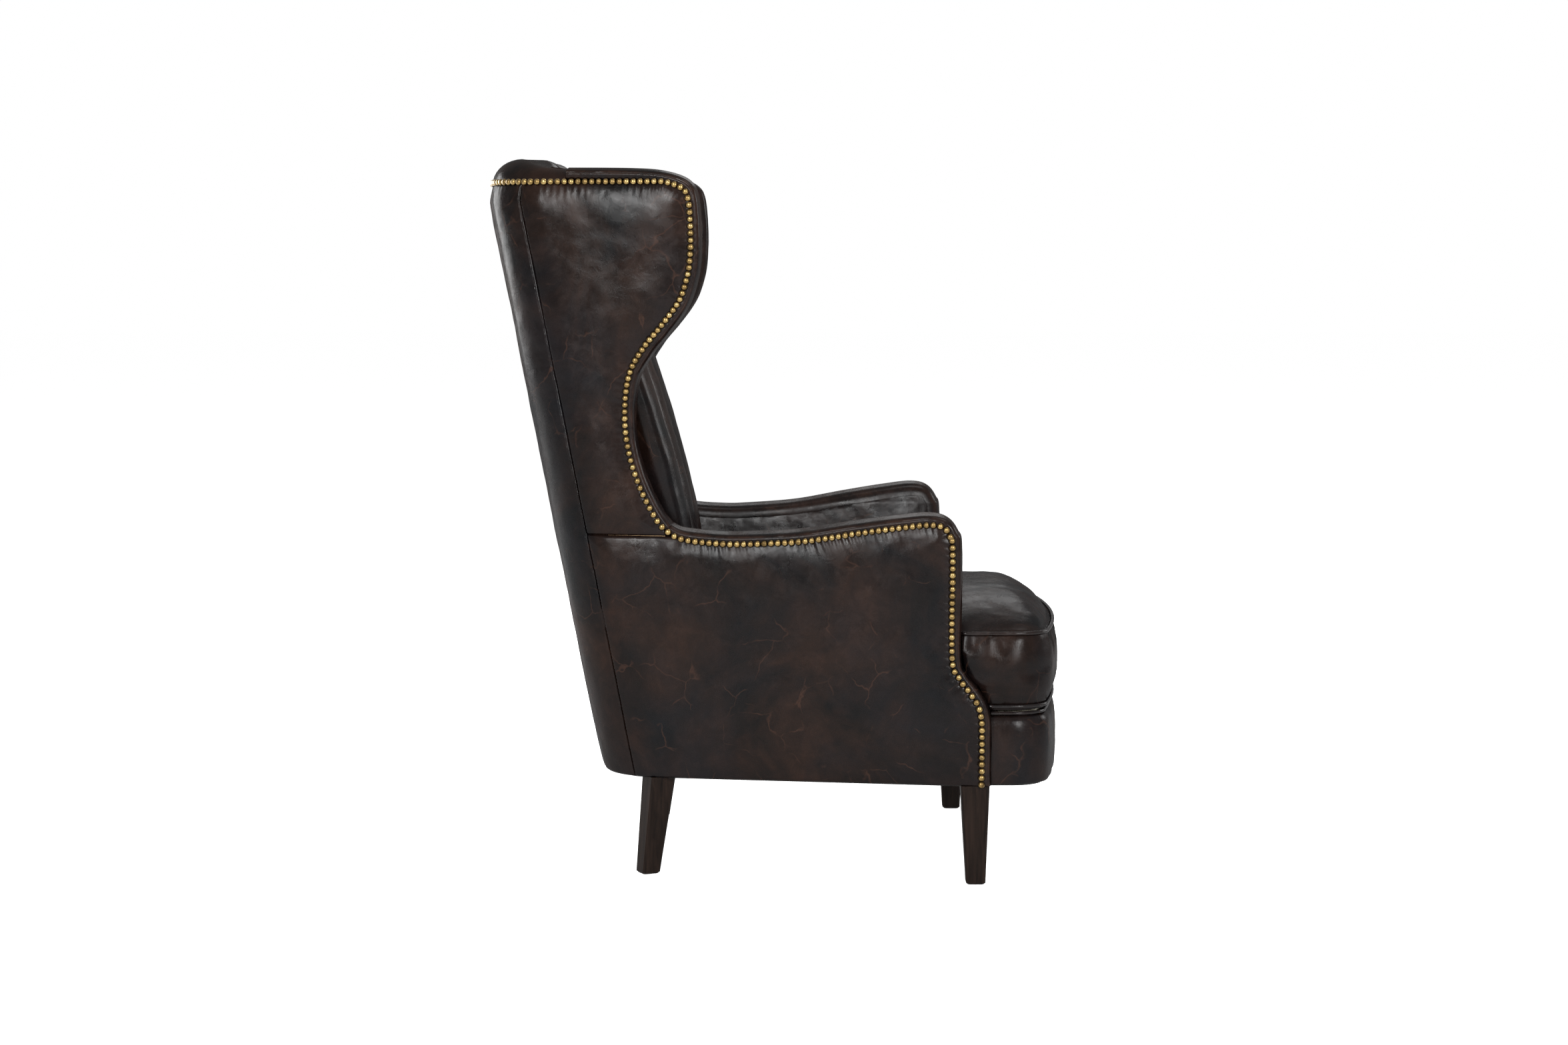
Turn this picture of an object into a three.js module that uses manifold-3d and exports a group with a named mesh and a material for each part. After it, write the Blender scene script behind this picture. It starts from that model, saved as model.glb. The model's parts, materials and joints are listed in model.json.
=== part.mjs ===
// A wingback armchair in leather over a timber frame, in millimetres.
// +Z is up, the sitter faces -Y, and the origin is on the floor under the middle of the chair.
import * as THREE from "three";
import { mergeVertices } from "three/addons/utils/BufferGeometryUtils.js";
import Module from "manifold-3d";

const wasm = await Module();
wasm.setup();

// Overall sizes
const chairDepth = 942;
const crestHeight = 1158;
const crestRise = 17;
const wingTop = crestHeight - crestRise;
const baseHeight = 161;
const chairFront = -chairDepth / 2;
const backReach = chairDepth / 2;
const gap = 0.3;
const weld = 1e-3;

// Plan of the outer shell: a shallow arc at the back, a round corner, then a straight flaring side
const backRadius = 1258;
const backHalfWidth = 200;
const cornerRadius = 105;
const sideFlare = THREE.MathUtils.degToRad(10);
const squareRun = 45;
const backSteps = 3;
const cornerSteps = 6;

// Lean of the shell: the plan slides back as it rises, and forward again over the shoulder
const recline = 0.194;
const shoulderDrop = 51;
const shoulderHeight = wingTop - shoulderDrop;
const shoulderRoll = 0.1;

// Thickness of the walls, and their layers counted inwards from the outer face
const armThickness = 80;
const wingThickness = 50;
const dipHeight = 559;
const waistRise = 1;
const taperHeight = 240;
const thickBelow = dipHeight + waistRise;
const thinAbove = thickBelow + taperHeight;
const skin = 3;
const frameFront = 31.3;
const frameBack = skin + gap;
const liningBack = frameFront + gap;

// Heights and places of the front edge of the side wall, measured from the chair's front and rear
const armRise = 35;
const armTop = dipHeight + armRise;
const armNose = 57;
const noseDepth = 51;
const armSetback = 174;
const toeSetback = 126;
const armFront = chairFront + armSetback;
const toeFront = chairFront + toeSetback;
const ogeeRise = 89;
const ogeeHeight = 123;
const ogeeFoot = baseHeight + ogeeRise;
const ogeeTop = ogeeFoot + ogeeHeight;
const wingReach = 354;
const waistReach = 248;
const bandReach = 141;
const wingFront = backReach - wingReach;
const waistBack = backReach - waistReach;
const bandEnd = backReach - bandReach;

// Edge band
const nailInset = 16;
const bandInset = 22;
const bandCrown = 14;
const bandCorner = 4;
const bandShoulder = 9;

// Seams of the outer skins
const sideSeamAngle = THREE.MathUtils.degToRad(58);
const seamDrop = 4;
const crestBand = 23;
const wingSeamHeight = dipHeight - seamDrop;
const backTop = wingTop - crestBand;

// Seat frame
const railHeight = 79;
const railTop = baseHeight + railHeight;
const railThick = 28;
const postWidth = 70;
const postStart = 205;
const armPostWidth = 60;
const stretcherWidth = 50;
const stretcherFit = 1.2;
const blockLeg = 70;
const dustThick = 2;

const armRailHeight = 40;
const armRailGap = 6;
const wingMember = 32;
const padRear = 262;

// Legs
const legTop = baseHeight - gap;
const legRound = 3;
const boltRadius = 4;
const boltLength = 70;
const boltSides = 8;
const boltDepth = 17;
const frontLegSetback = 25;
const frontLegSplay = 2;
const frontLegPlace = toeFront + frontLegSetback;
const frontLegFootPlace = frontLegPlace - frontLegSplay;
const frontLegTopWidth = 46;
const frontLegFootWidth = 31;
const frontLegInset = 3;
const frontBoltSetback = 16;
const frontBoltPlace = frontLegPlace + frontBoltSetback;
const rearLegAngle = THREE.MathUtils.degToRad(78);
const rearLegDepth = 26;
const rearLegTopWidth = 42;
const rearLegFootWidth = 31;
const rearLegRake = 18;
const rearLegTurn = THREE.MathUtils.degToRad(-26);

// Seat
const noseTurn = THREE.MathUtils.degToRad(10.5);
const earSteps = 5;
const noseSteps = 3;
const borderRound = 6;
const weltRadius = 3.2;
const weltSides = 6;
const cordAngles = Array.from({ length: weltSides }, (_, i) => (2 * Math.PI * i) / weltSides);
const earHalfWidth = 365;
const earRadius = 62;
const borderThick = 20;
const borderHeight = 111;
const borderTop = baseHeight + borderHeight;
const weltRoom = 7;
const cushionBottom = borderTop + weltRoom;
const seamLowRise = 8;
const boxingHeight = 117;
const crownHeight = 59;
const cushionSeamLow = cushionBottom + seamLowRise;
const cushionSeamTop = cushionSeamLow + boxingHeight;
const cushionTop = cushionSeamTop + crownHeight;
const cushionRoom = 221.7;
const cushionRear = backReach + lean(cushionBottom) - cushionRoom;
const cushionFit = 2;
const cushionRearRadius = 34;
const earRearRound = 12;
const cushionMiddleShare = 0.57;
const noseMiddleSetback = 141;
const cushionMiddle = THREE.MathUtils.lerp(chairFront, cushionRear, cushionMiddleShare);
const noseMiddle = chairFront + noseMiddleSetback;
const cushionPull = 0.75;
const earDrift = 8;
const crownShares = [0.15, 0.35, 0.6, 0.85];
const coverThick = 2;
const crownCover = 6;
const crownEase = 3;
const crownPower = 0.8;
const zipLength = 360;
const zipHeight = 7;
const zipInset = 2;
const wireThick = 4;
const clothThick = 2;
const springSetback = 36;
const springRoom = 21;
const springFront = chairFront + springSetback;
const springRear = backReach + lean(railTop) - springRoom;
const springSwing = 20;
const springBends = 10;
const springBendSteps = 4;
const springSides = 5;
const springSpare = 0.6;
const springPitch = 80;
const springPlaces = [-2, -1, 0, 1, 2].map((step) => step * springPitch);
const deckFit = 19;
const dustInset = 12;
const boltSpare = 0.3;

// Back
const crestRailHeight = 60;
const lowerRailRise = 60;
const lowerRailHeight = 60;
const lowerRailLow = railTop + lowerRailRise;
const lowerRailTop = lowerRailLow + lowerRailHeight;
const webWidth = 60;
const webTopFit = 18;
const webPitch = 180;
const webPlaces = [-webPitch / 2, webPitch / 2];
const faceSetback = 5;
const faceFoot = cushionRear + faceSetback;
const backDish = 15;
const channelCount = 5;
const channelSteps = 4;
const channelDepth = 16;
const padBack = liningBack + clothThick + gap;
const padRowCounts = [1, 2, 3, 3, 1, 1];
const crestRear = 40;
const crestFront = 60;
const crestEdgeRoll = 6;
const crestSteps = 3;
const backCoverThick = 8;
const coreOverrun = 5;

// Lean of the plan at a height, as a shift in y from its place at the shoulder.
function lean(height) {
  const below = Math.min(height, shoulderHeight) - shoulderHeight;
  const above = Math.max(height, shoulderHeight) - shoulderHeight;
  return recline * below - shoulderRoll * above;
}

// Wall thickness at a height: the arms are thick, the wings slim down above the waist.
function thicknessAt(height) {
  const share = THREE.MathUtils.clamp((height - thickBelow) / (thinAbove - thickBelow), 0, 1);
  return THREE.MathUtils.lerp(armThickness, wingThickness, share);
}

// Knots of the plan from the middle of the back to the end of the corner: length along the shell,
// place of the outer face and its outward normal.
const backAngle = Math.asin(backHalfWidth / backRadius);
const sideAngle = Math.PI / 2 - sideFlare;
const cornerX = (backRadius - cornerRadius) * Math.sin(backAngle);
const cornerY = backReach - backRadius + (backRadius - cornerRadius) * Math.cos(backAngle);

function planKnot(angle) {
  const inBack = angle <= backAngle;
  const radius = inBack ? backRadius : cornerRadius;
  const centreX = inBack ? 0 : cornerX;
  const centreY = inBack ? backReach - backRadius : cornerY;
  const normal = [Math.sin(angle), Math.cos(angle)];
  const run = inBack ? backRadius * angle : backRadius * backAngle + cornerRadius * (angle - backAngle);
  return { run, x: centreX + radius * normal[0], y: centreY + radius * normal[1], normal };
}

const planKnots = [];
for (let i = 0; i <= backSteps; i += 1) {
  planKnots.push(planKnot((backAngle * i) / backSteps));
}
for (let i = 1; i <= cornerSteps; i += 1) {
  planKnots.push(planKnot(backAngle + ((sideAngle - backAngle) * i) / cornerSteps));
}
const sideKnot = planKnots[planKnots.length - 1];
// On the side, ends and edges turn square to the chair instead of square to the flared wall.
const squareNormal = [1 / Math.cos(sideFlare), 0];
planKnots.push({
  run: sideKnot.run + squareRun,
  x: sideKnot.x + squareRun * Math.sin(sideFlare),
  y: sideKnot.y - squareRun * Math.cos(sideFlare),
  normal: squareNormal,
});
const knotRuns = planKnots.map((knot) => knot.run);
const seamRun = planKnot(sideSeamAngle).run;
const deckRear = sideKnot.y + lean(railTop) - deckFit;

// A point of the wall in space, from its run round the shell, its height and its depth inwards.
function wallPoint(run, height, depth) {
  const away = Math.abs(run);
  const last = planKnots.length - 1;
  let place = [
    sideKnot.x + (away - sideKnot.run) * Math.sin(sideFlare) - depth * squareNormal[0],
    sideKnot.y - (away - sideKnot.run) * Math.cos(sideFlare),
  ];
  for (let i = 0; i < last; i += 1) {
    const a = planKnots[i];
    const b = planKnots[i + 1];
    if (away >= a.run && away < b.run) {
      const share = (away - a.run) / (b.run - a.run);
      place = [
        THREE.MathUtils.lerp(a.x - depth * a.normal[0], b.x - depth * b.normal[0], share),
        THREE.MathUtils.lerp(a.y - depth * a.normal[1], b.y - depth * b.normal[1], share),
      ];
    }
  }
  return [run < 0 ? -place[0] : place[0], place[1] + lean(height), height];
}

// Run along the outer face of the side at which the wall reaches a place in y.
function runAt(y, height) {
  return sideKnot.run + (sideKnot.y + lean(height) - y) / Math.cos(sideFlare);
}

// Half width of the side wall at a place in y, a height and a depth inwards.
function sideX(y, height, depth) {
  const outer = sideKnot.x + (sideKnot.y + lean(height) - y) * Math.tan(sideFlare);
  return outer - depth / Math.cos(sideFlare);
}

// Front edge of the side wall, from the top of the wing down to the floor of the base.
// Wing points: shares from the wing's front to the waist, and from the arm's dip to the wing's top.
const wingEdgeShares = [
  [1.5, 1], [1.03, 0.998], [0.52, 0.99], [0.17, 0.966], [0.04, 0.923], [0, 0.826], [0.01, 0.75],
  [0.057, 0.694], [0.19, 0.624], [0.47, 0.553], [0.745, 0.491], [0.943, 0.423], [1.005, 0.326],
  [0.96, 0.234], [0.81, 0.141], [0.585, 0.057],
];
const mitreShares = [0.443, 0.026];
// Arm points: shares from the end of the nose to the wing's front, and from the dip to the arm's top.
const armEdgeShares = [
  [1.069, 0.14], [0.918, 0], [0.799, 0.01], [0.564, 0.167], [0.333, 0.56], [0.13, 0.87], [0, 1],
];
const noseShares = [[0.45, 0.89], [0.137, 0.54], [0, 0]];
const ogeeShares = [[0, 1], [0.17, 0.75], [0.54, 0.553], [0.83, 0.374], [0.96, 0.2], [1, 0]];

function edgePlaces() {
  const wing = ([back, up]) => [
    THREE.MathUtils.lerp(wingFront, waistBack, back),
    THREE.MathUtils.lerp(dipHeight, wingTop, up),
  ];
  const arm = ([back, up]) => [
    THREE.MathUtils.lerp(armFront + noseDepth, wingFront, back),
    THREE.MathUtils.lerp(dipHeight, armTop, up),
  ];
  const nose = ([back, up]) => [armFront + noseDepth * back, armTop - armNose + armNose * up];
  const ogee = ([out, up]) => [
    THREE.MathUtils.lerp(armFront, toeFront, out),
    THREE.MathUtils.lerp(ogeeFoot, ogeeTop, up),
  ];
  return {
    wing: [[bandEnd, wingTop], ...wingEdgeShares.slice(1).map(wing), wing(mitreShares)],
    arm: [
      wing(mitreShares),
      ...armEdgeShares.map(arm),
      ...noseShares.map(nose),
      ...ogeeShares.map(ogee),
      [toeFront, baseHeight],
    ],
  };
}

// The edge as a smooth line in runs and heights, through every knot.
const edgeSteps = 1;
const edgeKnots = edgePlaces();
const edgeLine = new THREE.SplineCurve(
  [...edgeKnots.wing, ...edgeKnots.arm.slice(1)].map(([y, z]) => new THREE.Vector2(y, z)),
)
  .getPoints((edgeKnots.wing.length + edgeKnots.arm.length - 2) * edgeSteps)
  .map((point) => [runAt(point.x, point.y), point.y]);
const mitreIndex = (edgeKnots.wing.length - 1) * edgeSteps;

// Points of the edge moved into the wall by an inset, square to the edge with mitred joints.
function insetEdge(inset) {
  const last = edgeLine.length - 1;
  return edgeLine.map(([run, height], i) => {
    const before = edgeLine[Math.max(i - 1, 0)];
    const after = edgeLine[Math.min(i + 1, last)];
    const first = new THREE.Vector2(run - before[0], height - before[1]).normalize();
    const second = new THREE.Vector2(after[0] - run, after[1] - height).normalize();
    const along = first.clone().add(second).normalize();
    const inwards = new THREE.Vector2(along.y, -along.x);
    const stretch = i === 0 || i === last ? 1 : along.dot(first);
    return [run + (inwards.x * inset) / stretch, height + (inwards.y * inset) / stretch];
  });
}

// Mesh helpers

function geometryFrom(points, faces) {
  const geometry = new THREE.BufferGeometry();
  geometry.setAttribute("position", new THREE.Float32BufferAttribute(points.flat(), 3));
  geometry.setIndex(faces.flat());
  return tidied(geometry);
}

// Shared vertices merged, and faces that came out with two corners in one place dropped.
function tidied(geometry) {
  const bare = geometry.clone();
  bare.deleteAttribute("normal");
  bare.deleteAttribute("uv");
  const merged = mergeVertices(bare, weld);
  const index = Array.from(merged.index.array);
  const kept = [];
  for (let i = 0; i < index.length; i += 3) {
    const [a, b, c] = index.slice(i, i + 3);
    if (a !== b && b !== c && c !== a) {
      kept.push(a, b, c);
    }
  }
  merged.setIndex(kept);
  return merged;
}

function solidOf(geometry) {
  const merged = tidied(geometry);
  return new wasm.Manifold(
    new wasm.Mesh({
      numProp: 3,
      vertProperties: new Float32Array(merged.attributes.position.array),
      triVerts: new Uint32Array(merged.index.array),
    }),
  );
}

function geometryOf(solid) {
  const mesh = solid.getMesh();
  const geometry = new THREE.BufferGeometry();
  geometry.setAttribute("position", new THREE.BufferAttribute(mesh.vertProperties, 3));
  geometry.setIndex(new THREE.BufferAttribute(mesh.triVerts, 1));
  return geometry;
}

function cut(geometry, ...tools) {
  return geometryOf(tools.reduce((solid, tool) => solid.subtract(solidOf(tool)), solidOf(geometry)));
}

function mirrored(geometry) {
  const twin = geometry.clone().applyMatrix4(new THREE.Matrix4().makeScale(-1, 1, 1));
  const index = Array.from(twin.index.array);
  for (let i = 0; i < index.length; i += 3) {
    [index[i + 1], index[i + 2]] = [index[i + 2], index[i + 1]];
  }
  twin.setIndex(index);
  return twin;
}

// Rings of points, all with the same count, joined into a skin. Closed rings run round on
// themselves; the ends are capped, or joined to each other when the loft is a loop.
function loft(rings, isLoop = false, isLadder = false) {
  const count = rings[0].length;
  const faces = [];
  const spans = isLoop ? rings.length : rings.length - 1;
  for (let i = 0; i < spans; i += 1) {
    const here = i * count;
    const next = ((i + 1) % rings.length) * count;
    for (let j = 0; j < count; j += 1) {
      const k = (j + 1) % count;
      faces.push([here + j, here + k, next + k], [here + j, next + k, next + j]);
    }
  }
  const caps = isLadder ? ladderFaces : capFaces;
  if (!isLoop) {
    faces.push(...caps(rings[0], 0, true));
    faces.push(...caps(rings[rings.length - 1], (rings.length - 1) * count, false));
  }
  return facingOut(geometryFrom(rings.flat(), faces));
}

// Triangles across a ring whose second half runs back beside the first, point for point.
function ladderFaces(ring, start, isFirst) {
  const last = ring.length - 1;
  const faces = [];
  for (let i = 0; i < ring.length / 2 - 1; i += 1) {
    faces.push([i, i + 1, last - 1 - i], [i, last - 1 - i, last - i]);
  }
  return faces.map(([a, b, c]) => (isFirst ? [a, c, b] : [a, b, c]).map((i) => i + start));
}

// Triangles across one ring, worked out on its own plane. A point that lies on a straight run is
// nudged outwards for the triangulation alone, so that it keeps its corner of a triangle.
function capFaces(ring, start, isFirst) {
  const points = ring.map((point) => new THREE.Vector3(...point));
  const kept = points.map((_, i) => i).filter((i) => points[i].distanceTo(points.at(i - 1)) > weld);
  const centre = points.reduce((sum, p) => sum.add(p), new THREE.Vector3()).divideScalar(points.length);
  const normal = new THREE.Vector3();
  points.forEach((p, i) => {
    const q = points[(i + 1) % points.length];
    normal.add(p.clone().sub(centre).cross(q.clone().sub(centre)));
  });
  normal.normalize();
  const side = Math.abs(normal.z) > Math.SQRT1_2 ? new THREE.Vector3(1, 0, 0) : new THREE.Vector3(0, 0, 1);
  const across = side.clone().cross(normal).normalize();
  const up = normal.clone().cross(across);
  const flat = kept.map((i) => new THREE.Vector2(points[i].dot(across), points[i].dot(up)));
  const nudged = flat.map((p, i) => {
    const before = flat.at(i - 1);
    const after = flat[(i + 1) % flat.length];
    const chord = after.clone().sub(before);
    const bend = Math.abs(chord.cross(p.clone().sub(before))) / chord.length();
    const push = bend < weld ? weld * (1 + (i % 3)) : 0;
    const out = new THREE.Vector2(chord.y, -chord.x).setLength(push);
    return p.clone().add(out);
  });
  const faces = THREE.ShapeUtils.triangulateShape(nudged, []);
  return faces.map(([a, b, c]) => (isFirst ? [a, c, b] : [a, b, c]).map((i) => kept[i] + start));
}

// The mesh itself, or turned inside out when its volume comes out negative.
function facingOut(geometry) {
  const place = geometry.attributes.position;
  const index = geometry.index.array;
  let volume = 0;
  for (let i = 0; i < index.length; i += 3) {
    const [a, b, c] = [0, 1, 2].map((j) => new THREE.Vector3().fromBufferAttribute(place, index[i + j]));
    volume += a.dot(b.cross(c));
  }
  if (volume > 0) {
    return geometry;
  }
  const turned = Array.from(index);
  for (let i = 0; i < turned.length; i += 3) {
    [turned[i + 1], turned[i + 2]] = [turned[i + 2], turned[i + 1]];
  }
  geometry.setIndex(turned);
  return geometry;
}

// Every triangle cut where it crosses a plane at one of the values along an axis.
function splitAt(geometry, axis, values) {
  const soup = geometry.index ? geometry.toNonIndexed() : geometry;
  const place = soup.attributes.position;
  let triangles = [];
  for (let i = 0; i < place.count; i += 3) {
    triangles.push([0, 1, 2].map((j) => [place.getX(i + j), place.getY(i + j), place.getZ(i + j)]));
  }
  for (const value of values) {
    triangles = triangles.flatMap((triangle) => splitTriangle(triangle, axis, value));
  }
  const points = triangles.flat();
  return geometryFrom(points, triangles.map((_, i) => [3 * i, 3 * i + 1, 3 * i + 2]));
}

function splitTriangle(triangle, axis, value) {
  const low = [];
  const high = [];
  triangle.forEach((p, i) => {
    const q = triangle[(i + 1) % 3];
    const pSide = Math.abs(p[axis] - value) < weld ? 0 : Math.sign(p[axis] - value);
    const qSide = Math.abs(q[axis] - value) < weld ? 0 : Math.sign(q[axis] - value);
    if (pSide <= 0) {
      low.push(p);
    }
    if (pSide >= 0) {
      high.push(p);
    }
    if (pSide * qSide < 0) {
      const [a, b] = p[axis] < q[axis] ? [p, q] : [q, p];
      const share = (value - a[axis]) / (b[axis] - a[axis]);
      const crossing = a.map((v, j) => (j === axis ? value : v + (b[j] - v) * share));
      low.push(crossing);
      high.push(crossing);
    }
  });
  return [low, high].flatMap((polygon) =>
    polygon.slice(2).map((_, i) => [polygon[0], polygon[i + 1], polygon[i + 2]]),
  );
}

// A flat piece of the wall, given in runs, heights and depths, bent to the shell.
function bent(geometry) {
  const runs = [...knotRuns.slice(1).map((run) => -run), ...knotRuns];
  geometry.computeBoundingBox();
  const heights = [shoulderHeight];
  if (geometry.boundingBox.max.z > liningBack) {
    heights.push(thickBelow, thinAbove);
  }
  const split = splitAt(splitAt(geometry, 0, runs), 1, heights);
  const place = split.attributes.position;
  for (let i = 0; i < place.count; i += 1) {
    const height = place.getY(i);
    const depth = place.getZ(i);
    const spare = (thicknessAt(height) - liningBack) / (armThickness - liningBack);
    const bentDepth = depth <= liningBack ? depth : liningBack + (depth - liningBack) * spare;
    place.setXYZ(i, ...wallPoint(place.getX(i), height, bentDepth));
  }
  return facingOut(tidied(split));
}

// A panel of the wall from its outline in runs and heights, between two depths.
function wallPanel(outline, fromDepth, toDepth, holes = []) {
  const shape = new THREE.Shape(outline.map(([run, height]) => new THREE.Vector2(run, height)));
  shape.holes = holes.map((hole) => new THREE.Path(hole.map((point) => new THREE.Vector2(...point))));
  const flat = new THREE.ExtrudeGeometry(shape, { depth: toDepth - fromDepth, bevelEnabled: false });
  return bent(flat.translate(0, 0, fromDepth));
}

// A plain length of the wall between two runs and two heights, with a ring at every knot of the plan.
function wallBlock(fromRun, toRun, low, high, fromDepth, toDepth) {
  const between = [...knotRuns.slice(1).map((run) => -run).reverse(), ...knotRuns].filter(
    (run) => run > fromRun + weld && run < toRun - weld,
  );
  const heights = [low, high];
  if (low < shoulderHeight && shoulderHeight < high) {
    heights.splice(1, 0, shoulderHeight);
  }
  const section = [
    ...heights.map((height) => [height, fromDepth]),
    ...heights.slice().reverse().map((height) => [height, toDepth]),
  ];
  const rings = [fromRun, ...between, toRun].map((run) =>
    section.map(([height, depth]) => wallPoint(run, height, depth)),
  );
  return loft(rings, false, true);
}

// Finishes
const finishes = {
  leather: { color: 0x2b2624, roughness: 0.38, metalness: 0 },
  welt: { color: 0x211d1c, roughness: 0.42, metalness: 0 },
  legWood: { color: 0x2a1b14, roughness: 0.35, metalness: 0 },
  frameWood: { color: 0xb48a5a, roughness: 0.7, metalness: 0 },
  steel: { color: 0x8d9094, roughness: 0.4, metalness: 0.9 },
  cloth: { color: 0x9c8a6c, roughness: 0.95, metalness: 0 },
  foam: { color: 0xe3d9b4, roughness: 0.9, metalness: 0 },
  darkCloth: { color: 0x151515, roughness: 0.95, metalness: 0 },
};

const chair = new THREE.Group();

function add(name, geometry, finish) {
  const mesh = new THREE.Mesh(geometry, new THREE.MeshStandardMaterial(finishes[finish]));
  mesh.name = name;
  chair.add(mesh);
}

// The sitter's right is at -X.
function addPair(name, geometry, finish) {
  add(`${name}_left`, geometry, finish);
  add(`${name}_right`, mirrored(geometry), finish);
}

// Outer skins

const nailLine = insetEdge(nailInset);
const frameLine = insetEdge(bandInset);
const frameRear = seamRun + gap / 2;

function outerBackPanel() {
  const half = seamRun - gap / 2;
  return wallBlock(-half, half, baseHeight, backTop, 0, skin);
}

// Where a line crosses a height between one of its points and the next.
function crossing(line, i, height) {
  const share = (height - line[i][1]) / (line[i + 1][1] - line[i][1]);
  return [THREE.MathUtils.lerp(line[i][0], line[i + 1][0], share), height];
}

// The wing's part of a line, from its top down to a height.
function wingPart(line, foot) {
  const part = line.slice(0, mitreIndex + 1);
  const below = part.findIndex(([, height]) => height <= foot + gap);
  if (below > 0) {
    return [...part.slice(0, below), crossing(part, below - 1, foot)];
  }
  return [...part.slice(0, -1), [part[mitreIndex][0] - gap, foot]];
}

// The arm's part of a line, from where it drops below a height to its foot.
function armPart(line, head) {
  const below = line.findIndex(([, height], i) => i > mitreIndex && height < head);
  const drop = line[below - 1][1] > head ? [crossing(line, below - 1, head)] : [];
  return [...drop, ...line.slice(below)];
}

function outerWingPanel() {
  const foot = wingSeamHeight + gap / 2;
  const edge = wingPart(nailLine, foot).slice(1);
  const head = [
    [edge[0][0], backTop],
    [frameRear, backTop],
  ];
  return wallPanel([[frameRear, foot], ...edge.reverse(), ...head], 0, skin);
}

function outerArmPanel() {
  const head = wingSeamHeight - gap / 2;
  const edge = armPart(nailLine, head);
  return wallPanel([[frameRear, baseHeight], ...edge.reverse(), [frameRear, head]], 0, skin);
}

// The band wraps the whole thickness of the wall, with a crowned front.
const bandSection = [
  [nailInset - gap, 0],
  [bandShoulder, 0],
  [bandCorner, bandCorner],
  [0, bandCrown],
  [0, armThickness - bandCrown],
  [bandCorner, armThickness - bandCorner],
  [bandShoulder, armThickness],
  [bandInset - gap, armThickness],
  [bandInset - gap, frameBack],
  [nailInset - gap, frameBack],
];

function edgeBand(from, to) {
  const lines = bandSection.map(([inset]) => insetEdge(inset));
  const rings = [];
  for (let i = from; i <= to; i += 1) {
    rings.push(bandSection.map(([, depth], j) => [...lines[j][i], depth]));
  }
  return bent(loft(rings));
}

// The two bands meet at the mitre with a gap, taken off the first ring of the arm band.
function armBand() {
  const lines = bandSection.map(([inset]) => insetEdge(inset));
  const rings = [];
  for (let i = mitreIndex; i < edgeLine.length; i += 1) {
    rings.push(
      bandSection.map(([, depth], j) => {
        const [run, height] = lines[j][i];
        const next = lines[j][Math.min(i + 1, edgeLine.length - 1)];
        const length = Math.hypot(next[0] - run, next[1] - height);
        const share = i === mitreIndex ? gap / length : 0;
        return [run + (next[0] - run) * share, height + (next[1] - height) * share, depth];
      }),
    );
  }
  return bent(loft(rings));
}

// Timber frame of the walls

const postEnd = postStart + postWidth;
const framingRear = postEnd + gap;
const armPostRear = armFront + bandInset + armPostWidth;
const armRailTop = dipHeight - bandInset - armRailGap;
const armRailLow = armRailTop - armRailHeight;

function armPost() {
  const past = ([run, height]) => run - runAt(armPostRear, height);
  const first = frameLine.findIndex((point, i) => i > mitreIndex && past(point) > 0);
  const before = frameLine[first - 1];
  const share = past(before) / (past(before) - past(frameLine[first]));
  const head = before.map((value, j) => THREE.MathUtils.lerp(value, frameLine[first][j], share));
  return wallPanel(
    [[runAt(armPostRear, baseHeight), baseHeight], ...frameLine.slice(first).reverse(), head],
    frameBack,
    frameFront,
  );
}

// A rail of the side between the back post and the arm post, whose rear face stands plumb.
function sideMember(low, high) {
  return wallPanel(
    [
      [framingRear, low],
      [runAt(armPostRear, low) - gap, low],
      [runAt(armPostRear, high) - gap, high],
      [framingRear, high],
    ],
    frameBack,
    frameFront,
  );
}

// A line with nothing above the shell's top.
function levelled(line) {
  return line.map(([run, height]) => [run, Math.min(height, backTop)]);
}

function wingFrame() {
  const foot = armRailTop + gap;
  const front = levelled(frameLine.slice(0, mitreIndex + 1));
  const [meetRun] = frameLine[mitreIndex];
  const low = foot + 2 * wingMember;
  const high = backTop - wingMember;
  const hole = insetEdge(bandInset + wingMember)
    .slice(0, mitreIndex)
    .filter(([run, z]) => z > low && z < high && run > framingRear + 2 * wingMember);
  const inner = framingRear + wingMember;
  const holeOutline = [
    [inner, hole[0][1]],
    ...hole,
    [inner, hole[hole.length - 1][1]],
  ];
  const outline = [[framingRear, foot], [meetRun, foot], ...front.reverse(), [framingRear, backTop]];
  return wallPanel(outline, frameBack, frameFront, [holeOutline]);
}

// Inner pads of the walls

function innerWingPad() {
  const foot = wingSeamHeight + gap / 2;
  const front = levelled(wingPart(frameLine, foot));
  return wallPanel([[padRear, foot], ...front.reverse(), [padRear, backTop]], liningBack, armThickness);
}

function innerArmPad() {
  const head = wingSeamHeight - gap / 2;
  const foot = railTop + gap;
  const front = armPart(frameLine, head).filter(([, height]) => height > foot);
  const toe = [runAt(toeFront + bandInset, foot), foot];
  return wallPanel([[padRear, foot], toe, ...front.reverse(), [padRear, head]], liningBack, armThickness);
}

// Seat frame

const crossFront = toeFront + bandInset + gap;
const crossRear = crossFront + railThick;

// A straight member from side to side, fitted between the two walls at a depth.
function crossMember(front, rear, low, high, depth) {
  return loft(
    [low, high].map((height) => [
      [sideX(front, height, depth), front, height],
      [sideX(rear, height, depth), rear, height],
      [-sideX(rear, height, depth), rear, height],
      [-sideX(front, height, depth), front, height],
    ]),
  );
}

// Glued blocks fill the corners of the seat frame: triangles at the front, a segment at the rear.
function frontBlock() {
  const rear = crossRear + gap;
  return loft(
    [baseHeight, railTop].map((height) => [
      [sideX(rear, height, liningBack), rear, height],
      [sideX(rear + blockLeg, height, liningBack), rear + blockLeg, height],
      [sideX(rear, height, liningBack) - blockLeg, rear, height],
    ]),
  );
}

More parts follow.
